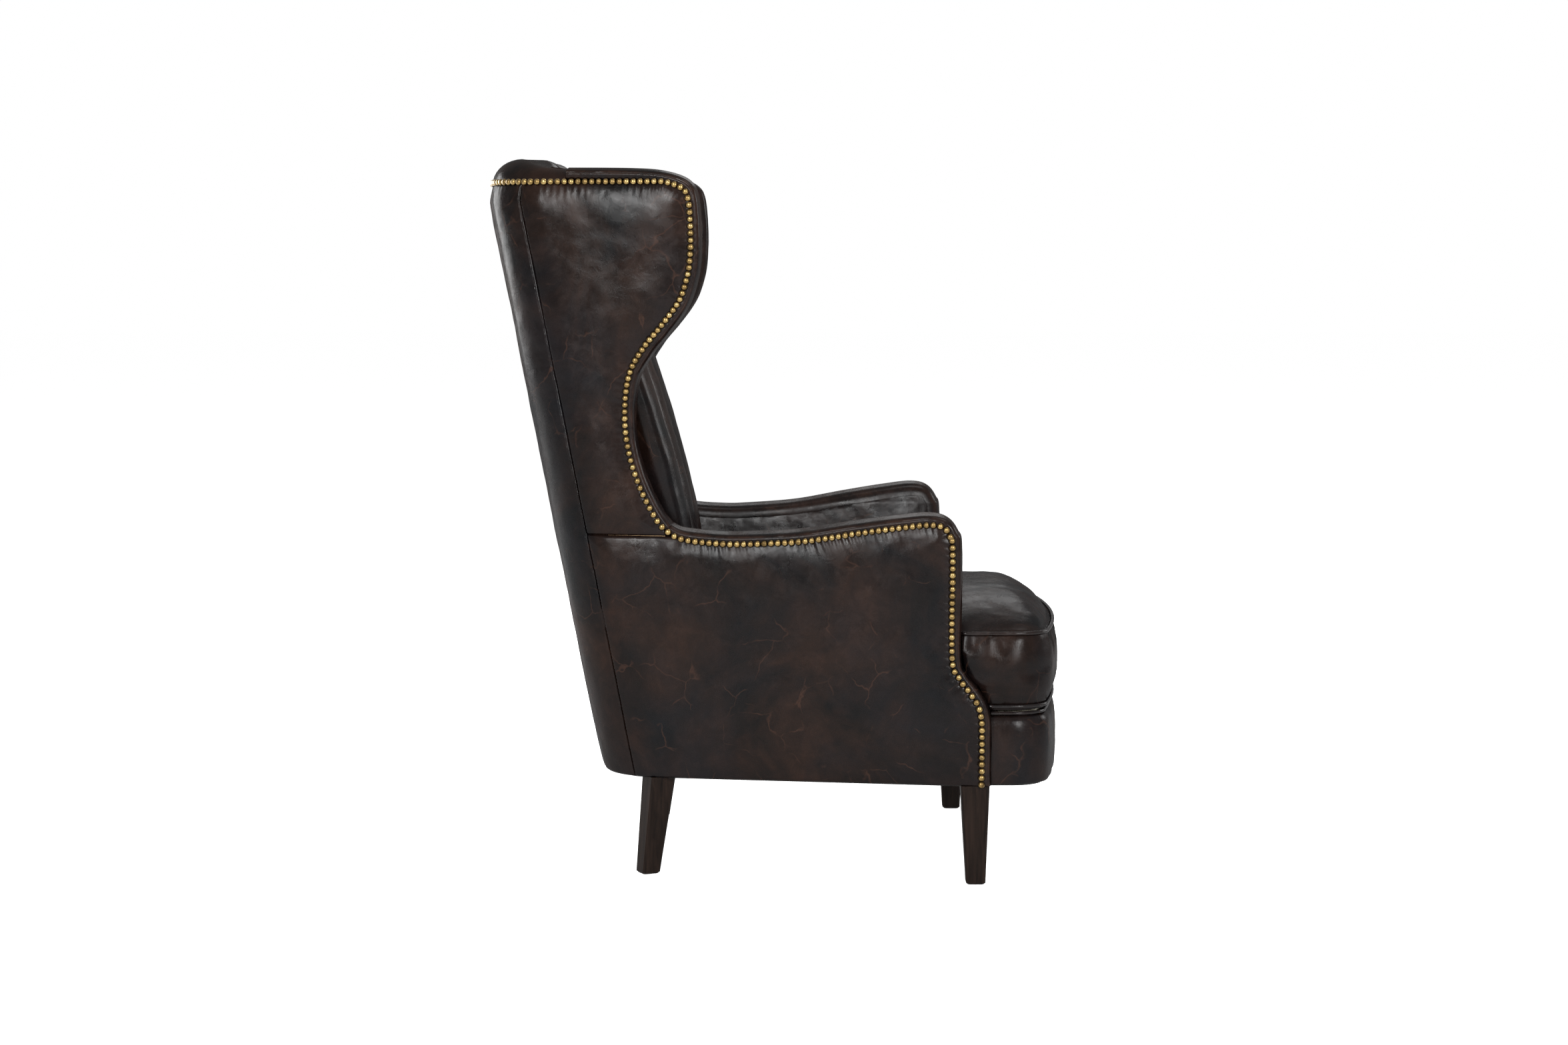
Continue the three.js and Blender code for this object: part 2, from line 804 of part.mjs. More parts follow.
function rearBlock() {
  const runs = knotRuns.filter((run) => run >= backRadius * backAngle - weld && run <= sideKnot.run);
  return loft([baseHeight, railTop].map((height) => runs.map((run) => wallPoint(run, height, liningBack))));
}

// Outline of the seat's front, from the right ear's end round to the left one, moved in by an inset.
const noseCentreX = earHalfWidth - earRadius;
const noseRadius = earRadius + noseCentreX / Math.sin(noseTurn);
const noseCentreY = chairFront + noseRadius - (noseRadius - earRadius) * Math.cos(noseTurn);

function noseHalf(inset) {
  const points = [];
  for (let i = 0; i <= earSteps; i += 1) {
    const angle = ((Math.PI / 2 - noseTurn) * i) / earSteps;
    points.push([
      noseCentreX + (earRadius - inset) * Math.cos(angle),
      noseCentreY - (earRadius - inset) * Math.sin(angle),
    ]);
  }
  for (let i = 1; i <= noseSteps; i += 1) {
    const angle = noseTurn * (1 - i / noseSteps);
    points.push([
      (noseRadius - inset) * Math.sin(angle),
      chairFront + noseRadius - (noseRadius - inset) * Math.cos(angle),
    ]);
  }
  return points;
}

function withMirror(half) {
  const other = half
    .filter(([x]) => Math.abs(x) > weld)
    .map(([x, ...rest]) => [-x, ...rest])
    .reverse();
  return [...half, ...other];
}

function noseLine(inset, rear) {
  return withMirror([[earHalfWidth - inset, rear], ...noseHalf(inset)]);
}

// A strip that follows the seat's front between two insets, as rings given by height.
function noseStrip(rings) {
  const rear = toeFront - gap;
  return loft(
    rings.map(([height, outer, inner]) =>
      [...noseLine(outer, rear), ...noseLine(inner, rear).reverse()].map(([x, y]) => [x, y, height]),
    ),
  );
}

function noseRail() {
  const outer = borderThick + gap;
  const inner = borderThick + railThick;
  return noseStrip([[baseHeight, outer, inner], [railTop, outer, inner]]);
}

function noseStretcher() {
  const front = chairFront + borderThick + railThick + stretcherFit;
  const rear = crossFront - gap;
  const block = new THREE.BoxGeometry(stretcherWidth, rear - front, railTop - baseHeight);
  return tidied(block.translate(0, (front + rear) / 2, (baseHeight + railTop) / 2));
}

function borderPad() {
  return noseStrip([
    [baseHeight, borderRound, borderThick],
    [baseHeight + borderRound, 0, borderThick],
    [borderTop - borderRound, 0, borderThick],
    [borderTop, borderRound, borderThick],
  ]);
}

// A cord swept along a level line of points, with mitred joints.
function cord(line, radius, isLoop) {
  const last = line.length - 1;
  const rings = line.map(([x, y, z], i) => {
    const before = line[i === 0 ? (isLoop ? last : 0) : i - 1];
    const after = line[i === last ? (isLoop ? 0 : last) : i + 1];
    const first = new THREE.Vector2(x - before[0], y - before[1]).normalize();
    const second = new THREE.Vector2(after[0] - x, after[1] - y).normalize();
    const along = first.clone().add(second).normalize();
    const stretch = i === 0 && !isLoop ? 1 : Math.max(along.dot(second), Math.SQRT1_2);
    return cordAngles.map((angle) => [
      x + (along.y * radius * Math.cos(angle)) / stretch,
      y - (along.x * radius * Math.cos(angle)) / stretch,
      z + radius * Math.sin(angle),
    ]);
  });
  return loft(rings, isLoop);
}

function borderWelt() {
  const line = noseLine(borderRound + weltRadius, toeFront - gap);
  return cord(line.map(([x, y]) => [x, y, borderTop + gap + weltRadius]), weltRadius, false);
}

// Legs

// A tapered leg with a level top and foot, from its places and widths there, turned about the vertical.
function leg({ top, foot, topWidth, footWidth, turn }) {
  const rings = [
    [0, foot, footWidth - 2 * legRound],
    [legRound, foot, footWidth],
    [legTop, top, topWidth],
  ].map(([height, place, width]) => {
    const half = width / 2;
    const flat = half - legRound;
    const corners = [
      [half, flat], [flat, half], [-flat, half], [-half, flat],
      [-half, -flat], [-flat, -half], [flat, -half], [half, -flat],
    ];
    return corners.map(([x, y]) => [
      place[0] + x * Math.cos(turn) - y * Math.sin(turn),
      place[1] + x * Math.sin(turn) + y * Math.cos(turn),
      height,
    ]);
  });
  return loft(rings);
}

// A hanger bolt stands half in the leg and half in the timber above it.
function legBolt([x, y], spare = 0) {
  const radius = boltRadius + spare;
  const bolt = new THREE.CylinderGeometry(radius, radius, boltLength + 2 * spare, boltSides);
  return tidied(bolt.rotateX(Math.PI / 2).translate(x, y, legTop + gap / 2));
}

// Springs and deck

class SpringLine extends THREE.Curve {
  constructor(x) {
    super();
    this.x = x;
  }

  getPoint(share, target = new THREE.Vector3()) {
    const swing = springSwing * Math.sin(Math.PI * springBends * share);
    const y = THREE.MathUtils.lerp(springFront, springRear, share);
    return target.set(this.x + swing, y, railTop + gap + wireThick / 2);
  }
}

function seatSpring(x) {
  const wire = new THREE.Shape();
  for (let i = 0; i < springSides; i += 1) {
    const angle = (2 * Math.PI * i) / springSides;
    const point = [(wireThick / 2) * Math.cos(angle), (wireThick / 2) * Math.sin(angle)];
    if (i === 0) {
      wire.moveTo(...point);
    } else {
      wire.lineTo(...point);
    }
  }
  wire.closePath();
  const steps = springBends * springBendSteps;
  const path = new SpringLine(x);
  return tidied(new THREE.ExtrudeGeometry(wire, { steps, bevelEnabled: false, extrudePath: path }));
}

const clothLow = railTop + gap + wireThick + springSpare;
const deckLow = clothLow + clothThick + gap;
const deckTop = cushionBottom - gap;

// The deck fills the platform between the arms and inside the border: a T seen from above.
function deckLayer(low, high) {
  const front = toeFront - gap;
  return loft(
    [low, high].map((height) =>
      withMirror([
        [sideX(deckRear, height, armThickness + gap), deckRear, height],
        [sideX(front, height, armThickness + gap), front, height],
        [earHalfWidth - borderThick - gap, front, height],
        ...noseHalf(borderThick + gap).map(([x, y]) => [x, y, height]),
      ]),
    ),
  );
}

function dustCover(legs) {
  const low = baseHeight - gap - dustThick;
  const front = toeFront + dustInset;
  const sheet = loft(
    [low, baseHeight - gap].map((height) =>
      withMirror([
        ...knotRuns.map((run) => wallPoint(run, height, dustInset)),
        [sideX(front, height, dustInset), front, height],
        [earHalfWidth - dustInset, front, height],
        ...noseHalf(dustInset).map(([x, y]) => [x, y, height]),
      ]),
    ),
  );
  return cut(sheet, ...legs);
}

// Seat cushion

// Place of the arm's front edge at a height, along the ogee.
function ogeePlace(height) {
  const share = THREE.MathUtils.clamp((height - ogeeFoot) / (ogeeTop - ogeeFoot), 0, 1);
  const i = Math.max(ogeeShares.findIndex(([, up]) => up <= share), 1);
  const [outA, upA] = ogeeShares[i - 1];
  const [outB, upB] = ogeeShares[i];
  const out = THREE.MathUtils.mapLinear(share, upA, upB, outA, outB);
  return THREE.MathUtils.lerp(armFront, toeFront, out);
}

// Half outline of the cushion, from the middle of its rear to the middle of its front, with the
// place in y to which the crown draws each point.
function cushionHalf(height, inset) {
  const fit = armThickness + cushionFit;
  const earRear = ogeePlace(Math.max(height, cushionSeamLow + notchHalf)) - cushionFit - inset;
  const centreX = sideX(cushionRear, cushionBottom, fit) - cushionRearRadius;
  const centre = [centreX, cushionRear - cushionRearRadius];
  const radius = cushionRearRadius - inset;
  const side = earHalfWidth - cushionFit - inset;
  const round = earRearRound - inset * (2 - Math.SQRT2);
  return [
    [0, cushionRear - inset, cushionMiddle],
    [centre[0], cushionRear - inset, cushionMiddle],
    [centre[0] + radius * Math.SQRT1_2, centre[1] + radius * Math.SQRT1_2, cushionMiddle],
    [centre[0] + radius, centre[1], cushionMiddle],
    [sideX(earRear, cushionBottom, fit) - inset, earRear, earRear - earDrift],
    [side - round, earRear, earRear - earDrift],
    [side, earRear - round, earRear - round - earDrift],
    ...noseHalf(cushionFit + inset).map(([x, y]) => [x, y, noseMiddle]),
  ];
}

function cushionRing(height, inset, share = 0) {
  return withMirror(cushionHalf(height, inset)).map(([x, y, target]) => [
    x * (1 - share),
    THREE.MathUtils.lerp(y, target, cushionPull * share),
    height,
  ]);
}

// Height of the crown over the top seam, by the share of the way in from the edge.
function crownAt(share) {
  return cushionSeamTop + (cushionTop - cushionSeamTop) * Math.sin((Math.PI / 2) * share ** crownPower);
}

// Heights and insets round the boxing: a notch for each welt and a bulge between them.
const seamDraw = 3;
const notchDepth = 2 * weltRadius + gap + seamDraw;
const notchHalf = weltRadius + gap;

function cushionCover() {
  const rings = [
    cushionRing(cushionBottom, notchDepth, crownShares[0]),
    cushionRing(cushionSeamLow - notchHalf, notchDepth),
    cushionRing(cushionSeamLow + notchHalf, notchDepth),
    cushionRing(cushionSeamLow + notchHalf, seamDraw),
    cushionRing(THREE.MathUtils.lerp(cushionSeamLow, cushionSeamTop, 1 / 3), 0),
    cushionRing(THREE.MathUtils.lerp(cushionSeamLow, cushionSeamTop, 2 / 3), 0),
    cushionRing(cushionSeamTop - notchHalf, seamDraw),
    cushionRing(cushionSeamTop - notchHalf, notchDepth),
    cushionRing(cushionSeamTop + notchHalf, notchDepth),
    cushionRing(cushionSeamTop + notchHalf + seamDraw, seamDraw + weltRadius),
    ...crownShares.map((share) => {
      const ring = cushionRing(cushionSeamTop, seamDraw + weltRadius, share);
      return ring.map(([x, y]) => [x, y, crownAt(share)]);
    }),
  ];
  return cut(loft(rings), coreLoft(gap), zipBox(gap));
}

// The foam core, or the hollow for it when it is grown by a spare.
function coreLoft(spare = 0) {
  const inset = notchDepth + coverThick - spare;
  const raise = coverThick - spare;
  const rings = [
    cushionRing(cushionBottom + raise, inset, crownShares[0]),
    cushionRing(cushionSeamLow - notchHalf + raise, inset),
    cushionRing(cushionSeamTop, inset),
    ...crownShares.map((share) => {
      const ring = cushionRing(cushionSeamTop, inset, share);
      return ring.map(([x, y]) => [x, y, crownAt(share) - crownCover + spare * crownEase]);
    }),
  ];
  return loft(rings);
}

function zipBox(spare = 0) {
  const middle = (cushionSeamLow + cushionSeamTop) / 2;
  const depth = notchDepth + coverThick - zipInset - gap;
  const box = new THREE.BoxGeometry(zipLength + 2 * spare, depth + 2 * spare, zipHeight + 2 * spare);
  return tidied(box.translate(0, cushionRear - zipInset - depth / 2, middle));
}

function cushionWelt(height) {
  const inset = seamDraw + weltRadius;
  return cord(cushionRing(height, inset), weltRadius, true);
}

// Inside back

function alongTable(table, value) {
  const i = THREE.MathUtils.clamp(table.findIndex(([at]) => at >= value), 1, table.length - 1);
  const [atA, a] = table[i - 1];
  const [atB, b] = table[i];
  return THREE.MathUtils.mapLinear(value, atA, atB, a, b);
}

// Front face of the inside back: shares up from the seat to the crest, and back from the foot of
// the face to the rear of the shell.
const faceShares = [
  [0, 0], [0.142, 0], [0.217, 0.035], [0.296, 0.07], [0.366, 0.102], [0.438, 0.142], [0.515, 0.193],
  [0.612, 0.265], [0.706, 0.35], [0.797, 0.441], [0.877, 0.53], [0.954, 0.623], [1, 0.68],
];

function faceAt(height) {
  const share = (height - cushionBottom) / (crestHeight - cushionBottom);
  return THREE.MathUtils.lerp(faceFoot, backReach, alongTable(faceShares, share));
}

const padRows = [cushionBottom, cushionSeamTop, thickBelow, thinAbove, shoulderHeight, backTop];
const padHeights = padRows.flatMap((height, i) => {
  const count = padRowCounts[i];
  const next = padRows[i + 1] ?? height;
  return Array.from({ length: count }, (_, j) => THREE.MathUtils.lerp(height, next, j / count));
});

// Points of the face from the side to the middle, with a round channel between two creases.
function faceColumns(edgeX, face, channelHeight, dish = backDish) {
  const columns = channelCount * channelSteps;
  const points = [];
  for (let i = columns; i >= columns / 2; i -= 1) {
    const across = (2 * i) / columns - 1;
    const swell = Math.sqrt(Math.abs(Math.sin((Math.PI * i) / channelSteps)));
    points.push([edgeX * across, face + dish * across * across + channelHeight * (1 - swell)]);
  }
  return points;
}

const cornerRuns = knotRuns.filter((run) => run > padRear && run <= sideKnot.run);

// Half ring of the pad below the crest rail's top, from the middle of the rear to the middle of the face.
function padHalf(height) {
  const side = thicknessAt(height) + gap;
  const rear = knotRuns.filter((run) => run < padRear - gap).map((run) => wallPoint(run, height, padBack));
  const corner = cornerRuns.map((run) => wallPoint(run, height, side));
  const edgePlace = faceAt(height) + backDish;
  const columns = faceColumns(sideX(edgePlace + channelDepth, height, side), faceAt(height), channelDepth);
  return [
    ...rear,
    wallPoint(padRear - gap, height, padBack),
    wallPoint(padRear - gap, height, side),
    ...corner,
    corner[corner.length - 1],
    corner[corner.length - 1],
    ...columns.map(([x, y]) => [x, y, height]),
  ];
}

// Half ring of the crest, which rolls over the top of the shell and out to its rear face.
function crestHalf(share) {
  const turn = (Math.PI / 2) * share;
  const low = backTop + gap;
  const end = runAt(bandEnd, wingTop) - gap;
  const heightAt = (run) => {
    const out = THREE.MathUtils.smoothstep(Math.abs(run), backRadius * backAngle, end);
    return low + (THREE.MathUtils.lerp(crestHeight, wingTop, out) - low) * Math.sin(turn);
  };
  const at = (run, inwards) => wallPoint(run, heightAt(run), inwards);
  const side = wingThickness + gap;
  const roll = 1 - Math.cos(turn);
  const face = faceAt(backTop) + crestFront * roll;
  const dish = backDish - (crestFront - crestEdgeRoll) * roll;
  const depth = crestRear * roll;
  const edgeX = sideX(faceAt(backTop) + backDish + channelDepth, backTop, side);
  const columns = faceColumns(edgeX, face, channelDepth * Math.cos(turn), dish);
  return [
    ...knotRuns.filter((run) => run < padRear - gap).map((run) => at(run, depth)),
    at(padRear - gap, depth),
    at(padRear - gap, depth),
    ...cornerRuns.map((run) => at(run, depth)),
    at(end, depth),
    at(end, side),
    ...columns.map(([x, y]) => [x, y, heightAt((x / edgeX) * end)]),
  ];
}

function insideBackCover() {
  const lower = padHeights.map((height) => withMirror(padHalf(height)));
  const crest = [];
  for (let i = 0; i <= crestSteps; i += 1) {
    crest.push(withMirror(crestHalf(i / crestSteps)));
  }
  return cut(loft([...lower, ...crest]), backCore(gap));
}

// The foam behind the cover, or the hollow for it when it is grown by a spare.
function backCore(spare = 0) {
  const rows = padHeights.filter((height) => height > cushionBottom && height < backTop);
  const rear = spare > 0 ? padBack - coreOverrun : padBack;
  const inset = channelDepth + backDish + backCoverThick - spare;
  rows[0] -= spare;
  rows[rows.length - 1] += spare;
  return loft(
    rows.map((height) => {
      const face = faceAt(height) + inset;
      const width = sideX(face, height, thicknessAt(height)) - inset;
      return withMirror([
        ...knotRuns.filter((run) => run < backHalfWidth).map((run) => wallPoint(run, height, rear)),
        [width, face, height],
        [0, face, height],
      ]);
    }),
  );
}

// Assembly

add("outer_back_panel", outerBackPanel(), "leather");
addPair("outer_wing_panel", outerWingPanel(), "leather");
addPair("outer_arm_panel", outerArmPanel(), "leather");
addPair("wing_band", edgeBand(0, mitreIndex), "leather");
addPair("arm_band", armBand(), "leather");
addPair("inner_wing_pad", innerWingPad(), "leather");
addPair("inner_arm_pad", innerArmPad(), "leather");

const frontPlace = [sideX(frontLegPlace, baseHeight, frontLegInset + frontLegTopWidth / 2), frontLegPlace];
const frontLeg = {
  top: frontPlace,
  foot: [frontPlace[0], frontLegFootPlace],
  topWidth: frontLegTopWidth,
  footWidth: frontLegFootWidth,
  turn: 0,
};
const frontBolt = [sideX(frontBoltPlace, baseHeight, boltDepth), frontBoltPlace];
const rearPlace = wallPoint(planKnot(rearLegAngle).run, baseHeight, rearLegDepth);
const rearLeg = {
  top: rearPlace,
  foot: [rearPlace[0], rearPlace[1] + rearLegRake],
  topWidth: rearLegTopWidth,
  footWidth: rearLegFootWidth,
  turn: rearLegTurn,
};
const rearBolt = wallPoint(planKnot(rearLegAngle).run, baseHeight, boltDepth);
const holes = [legBolt(frontBolt, boltSpare), legBolt(rearBolt, boltSpare)];

addPair("front_leg", cut(leg(frontLeg), holes[0]), "legWood");
addPair("rear_leg", cut(leg(rearLeg), holes[1]), "legWood");
addPair("front_leg_bolt", legBolt(frontBolt), "steel");
addPair("rear_leg_bolt", legBolt(rearBolt), "steel");

addPair("back_post", wallBlock(postStart, postEnd, baseHeight, backTop, frameBack, frameFront), "frameWood");
addPair("arm_post", cut(armPost(), holes[0]), "frameWood");
addPair("arm_rail", sideMember(armRailLow, armRailTop), "frameWood");
addPair("wing_frame", wingFrame(), "frameWood");
addPair("side_rail", cut(sideMember(baseHeight, railTop), holes[1]), "frameWood");
const betweenPosts = postStart - gap;
for (const [name, low, high] of [
  ["back_rail", baseHeight, railTop],
  ["lower_back_rail", lowerRailLow, lowerRailTop],
  ["crest_rail", backTop - crestRailHeight, backTop],
]) {
  add(name, wallBlock(-betweenPosts, betweenPosts, low, high, frameBack, frameFront), "frameWood");
}
add("front_cross_rail", crossMember(crossFront, crossRear, baseHeight, railTop, liningBack), "frameWood");
add("nose_rail", noseRail(), "frameWood");
add("nose_stretcher", noseStretcher(), "frameWood");
addPair("front_corner_block", frontBlock(), "frameWood");
addPair("rear_corner_block", rearBlock(), "frameWood");

springPlaces.forEach((x, i) => add(`seat_spring_${i + 1}`, seatSpring(x), "steel"));
add("deck_cloth", deckLayer(clothLow, clothLow + clothThick), "cloth");
add("deck_pad", deckLayer(deckLow, deckTop), "foam");
add("front_border", borderPad(), "leather");
add("front_border_welt", borderWelt(), "welt");
const legTools = [frontLeg, rearLeg].map(({ topWidth, footWidth, ...place }) =>
  leg({ ...place, topWidth: topWidth + 2 * dustThick, footWidth: footWidth + 2 * dustThick }),
);
const legHoles = legTools.flatMap((tool) => [tool.translate(0, 0, gap), mirrored(tool)]);
add("dust_cover", dustCover(legHoles), "darkCloth");

webPlaces.forEach((run, i) => {
  const half = webWidth / 2;
  const top = backTop - webTopFit;
  const front = liningBack + clothThick;
  add(`back_web_${i + 1}`, wallBlock(run - half, run + half, lowerRailLow, top, liningBack, front), "cloth");
});
add("inside_back", insideBackCover(), "leather");
add("inside_back_core", backCore(), "foam");

add("seat_cushion_cover", cushionCover(), "leather");
add("seat_cushion_core", coreLoft(), "foam");
add("seat_cushion_welt_top", cushionWelt(cushionSeamTop), "welt");
add("seat_cushion_welt_bottom", cushionWelt(cushionSeamLow), "welt");
add("seat_cushion_zip", zipBox(), "steel");

export default chair;
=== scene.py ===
# A wingback armchair: leather, welts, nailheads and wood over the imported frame.
# Sizes in the rules below are in millimetres; meshes are made in metres.
import json
import math

import bmesh
import bpy
import numpy as np
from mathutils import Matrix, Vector, noise
from mathutils.bvhtree import BVHTree
from mathutils.geometry import delaunay_2d_cdt
from mathutils.kdtree import KDTree


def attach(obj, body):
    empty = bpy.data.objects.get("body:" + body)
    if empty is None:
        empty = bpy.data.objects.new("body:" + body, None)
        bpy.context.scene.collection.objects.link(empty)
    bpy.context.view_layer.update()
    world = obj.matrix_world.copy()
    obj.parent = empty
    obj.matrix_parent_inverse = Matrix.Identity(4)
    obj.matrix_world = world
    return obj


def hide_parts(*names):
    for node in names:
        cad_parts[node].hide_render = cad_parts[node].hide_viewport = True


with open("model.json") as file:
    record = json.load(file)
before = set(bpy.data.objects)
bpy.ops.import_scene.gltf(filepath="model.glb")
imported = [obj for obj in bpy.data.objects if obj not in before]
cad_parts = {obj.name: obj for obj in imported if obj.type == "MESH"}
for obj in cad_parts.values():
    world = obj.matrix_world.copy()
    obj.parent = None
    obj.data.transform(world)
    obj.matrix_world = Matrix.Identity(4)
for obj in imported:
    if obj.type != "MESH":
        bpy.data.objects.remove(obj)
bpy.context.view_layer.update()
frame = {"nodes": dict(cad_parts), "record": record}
MM = 0.001

# Shell: plan, lean and thickness
CHAIR_DEPTH = 942
CREST_HEIGHT = 1158
WING_TOP = 1141
BASE_HEIGHT = 161
BACK_RADIUS = 1258
BACK_ANGLE = math.asin(200 / BACK_RADIUS)
CORNER_RADIUS = 105
SIDE_FLARE = math.radians(10)
SQUARE_RUN = 45
RECLINE = 0.194
SHOULDER_HEIGHT = 1090
SHOULDER_ROLL = 0.1
ARM_THICKNESS = 80
WING_THICKNESS = 50
THICK_BELOW = 560
THIN_ABOVE = 800
LINING = 31.6
SKIN = 3.0
GAP = 0.3
SEAM_FIT = 0.05

# Front edge of the walls
DIP_HEIGHT = 559
ARM_TOP = 594
ARM_NOSE = 57
NOSE_DEPTH = 51
ARM_FRONT = -297
OGEE_TOP = 373
OGEE_FOOT = 250
TOE_FRONT = -345
WING_FRONT = 117
WAIST_BACK = 223
BAND_END = 330
NAIL_INSET = 16
BAND_INSET = 22
MITRE_KNOT = 16
MITRE_PINCH = 1.6
WING_SEAM = 555
BACK_TOP = 1118
SIDE_SEAM_ANGLE = math.radians(58)
PAD_REAR = 262
RAIL_TOP = 240
WING_SHARES = [
    (1.03, 0.998), (0.52, 0.99), (0.17, 0.966), (0.04, 0.923), (0, 0.826), (0.01, 0.75),
    (0.057, 0.694), (0.19, 0.624), (0.47, 0.553), (0.745, 0.491), (0.943, 0.423), (1.005, 0.326),
    (0.96, 0.234), (0.81, 0.141), (0.585, 0.057), (0.443, 0.026),
]
ARM_SHARES = [
    (1.069, 0.14), (0.918, 0), (0.799, 0.01), (0.564, 0.167), (0.333, 0.56), (0.13, 0.87), (0, 1),
]
NOSE_SHARES = [(0.45, 0.89), (0.137, 0.54), (0, 0)]
OGEE_SHARES = [(0, 1), (0.17, 0.75), (0.54, 0.553), (0.83, 0.374), (0.96, 0.2), (1, 0)]

# Unevenness of each leather: size and depth, and the seed where it is its own
WALL_WAVES = (90, 1.2)
WALL_RIPPLES = (30, 0.45)
BAND_WAVES = (40, 0.5)
BORDER_WAVES = (45, 1.1, 21)
CUSHION_WAVES = ((60, 1.2, 31), (60, 1.2, 32), (70, 1.8, 33))
DECK_DENTS = (80, 2.2, 51)
BACK_WAVES = (70, 1.5, 41)

# Leather over the walls
SHARP_EDGE = math.radians(62)
HIDE_STEP = 7
BACK_STEP = 9
SWELL_REACH = 30
PANEL_ROLL = 4
PANEL_SWELL = 7
BACK_SWELL = 2.5
PAD_DEPTH = 14
PAD_ROLL = 0.6
PAD_SWELL = 3
MARGIN = 26
MARGIN_STEP = 3

# Nailheads
NAIL_WIDTH = 10.6
NAIL_PITCH = 11.2
NAIL_ROW_HEIGHT = 1120
NAIL_HOLD = 1.6
PUCKER_DEPTH = 0.65
PUCKER_REACH = 9
NAIL_SEAT = 0.4
NAIL_TILT = 0.09
NAIL_SPREAD = 0.04
NAIL_SEED = 7
DOME_SIDES = 14
DOME_TOP = 0.39
DOME_RINGS = [(0.5, -0.06), (0.5, 0.03), (0.47, 0.15), (0.38, 0.27), (0.22, 0.36)]
EDGE_STEP = NAIL_PITCH / 4

# Seat
EAR_HALF_WIDTH = 365
EAR_RADIUS = 62
NOSE_TURN = math.radians(10.5)
BORDER_TOP = 272
CUSHION_BOTTOM = 279
SEAM_LOW = 287
SEAM_TOP = 404
CUSHION_TOP = 463
CUSHION_REAR = 92
CUSHION_FIT = 2
CUSHION_CORNER = 34
CUSHION_MIDDLE = -150
CUSHION_NOSE_MIDDLE = -330
CUSHION_COLUMNS = 240
FOOT_INSET = 9
SEAM_INSET = 5.5
SEAM_REACH = 1.1
TOP_INSET = 6
BORDER_BULGE = 6
BORDER_ROWS = 19
EAR_FIT = 0.5
EAR_DRAW = 8
CORE_COVER = 1.5
WELT_RADIUS = 3.2
WELT_SIDES = 10
DECK_REAR = 185
DECK_BOTTOM = 247.4
DECK_TOP = 278.4
DECK_MIDDLE = -120
DECK_NOSE_MIDDLE = -360
DECK_DRAW = 10
DECK_FOOT_INSET = 6
DECK_ROLL = [(0.4, 247.6), (0, 262), (0.8, 268), (3, 273), (7, 276.6), (12, 278)]
DECK_COLUMNS = 220
BORDER_THICKNESS = 19
BORDER_STEP = 8
BORDER_PROFILE = [
    (BORDER_THICKNESS, 161.5), (7, 161.2), (3.2, 162.4), (1.2, 165), (0.2, 170), (-0.6, 185),
    (-1.2, 205), (-1.4, 225), (-0.6, 245), (0.6, 256), (2.2, 263), (5, 269), (9, 271.6),
    (BORDER_THICKNESS, BORDER_TOP),
]

# Inside back
FACE_FOOT = 97
CHANNELS = 5
CHANNEL_DEPTH = 16
BACK_DISH = 15
CREST_REAR = 40
CREST_FRONT = 60
CREST_EDGE_ROLL = 6
CHANNEL_COLUMNS = 16
SIDE_COLUMNS = 10
CREST_STEPS = 9
BACK_ROWS = 110
BACK_HIDE = 6
FACE_SHARES = [
    (0, 0), (0.142, 0), (0.217, 0.035), (0.296, 0.07), (0.366, 0.102), (0.438, 0.142), (0.515, 0.193),
    (0.612, 0.265), (0.706, 0.35), (0.797, 0.441), (0.877, 0.53), (0.954, 0.623), (1, 0.68),
]

# Finishes: dark, brown and grey tones of a leather, dark and light tones of the rest
HIDE_TONES = ((0.0008, 0.0007, 0.0008), (0.0145, 0.0068, 0.0044), (0.0034, 0.0036, 0.0047))
WELT_TONES = ((0.0022, 0.002, 0.002), (0.012, 0.006, 0.0045), (0.004, 0.004, 0.005))
LEG_TONES = ((0.0032, 0.0022, 0.0018), (0.0145, 0.0088, 0.0066))
FRAME_TONES = ((0.42, 0.27, 0.14), (0.62, 0.44, 0.26))
BRASS_TONES = ((0.06, 0.038, 0.015), (0.17, 0.115, 0.044), (0.3, 0.215, 0.09))
JUTE_TONES = ((0.2, 0.15, 0.09), (0.5, 0.41, 0.28))
WADDING_TONES = ((0.6, 0.55, 0.42), (0.8, 0.75, 0.62))
DUST_TONES = ((0.008, 0.008, 0.008), (0.03, 0.03, 0.03))
STEEL_TONES = ((0.3, 0.3, 0.31), (0.5, 0.5, 0.51))
WAX_IOR = 1.8

# Floor, light and camera: each lamp's place, target, size and power
FLOOR_GLOW = 0.75
WORLD_LIGHT = 0.3
LAMPS = {
    "side_light": ((-4.4, 1.65, 2.25), (0, 0.1, 0.9), (0.45, 1.9), 220),
    "front_light": ((-4.0, -1.9, 1.75), (0.2, -0.1, 0.6), (0.6, 1.3), 145),
    "rear_light": ((2.9, 3.4, 1.3), (0, 0.3, 0.7), (2.6, 2.0), 300),
    "far_light": ((4.5, -0.6, 2.5), (0, -0.2, 0.5), (1.6, 1.0), 38),
    "fill_light": ((2.4, -3.9, 1.8), (0, -0.2, 0.6), (1.5, 1.4), 80),
    "top_light": ((0.2, -1.2, 3.6), (0, 0, 0.5), (1.2, 1.2), 30),
}
FRAME_WIDTH = 2352
FOCAL_PIXELS = 4900
AIM_BELOW_HORIZON = 429
AIM_FRONT = 26
CAMERA_PLACE = (-5.516, 0.01215, 1.033)

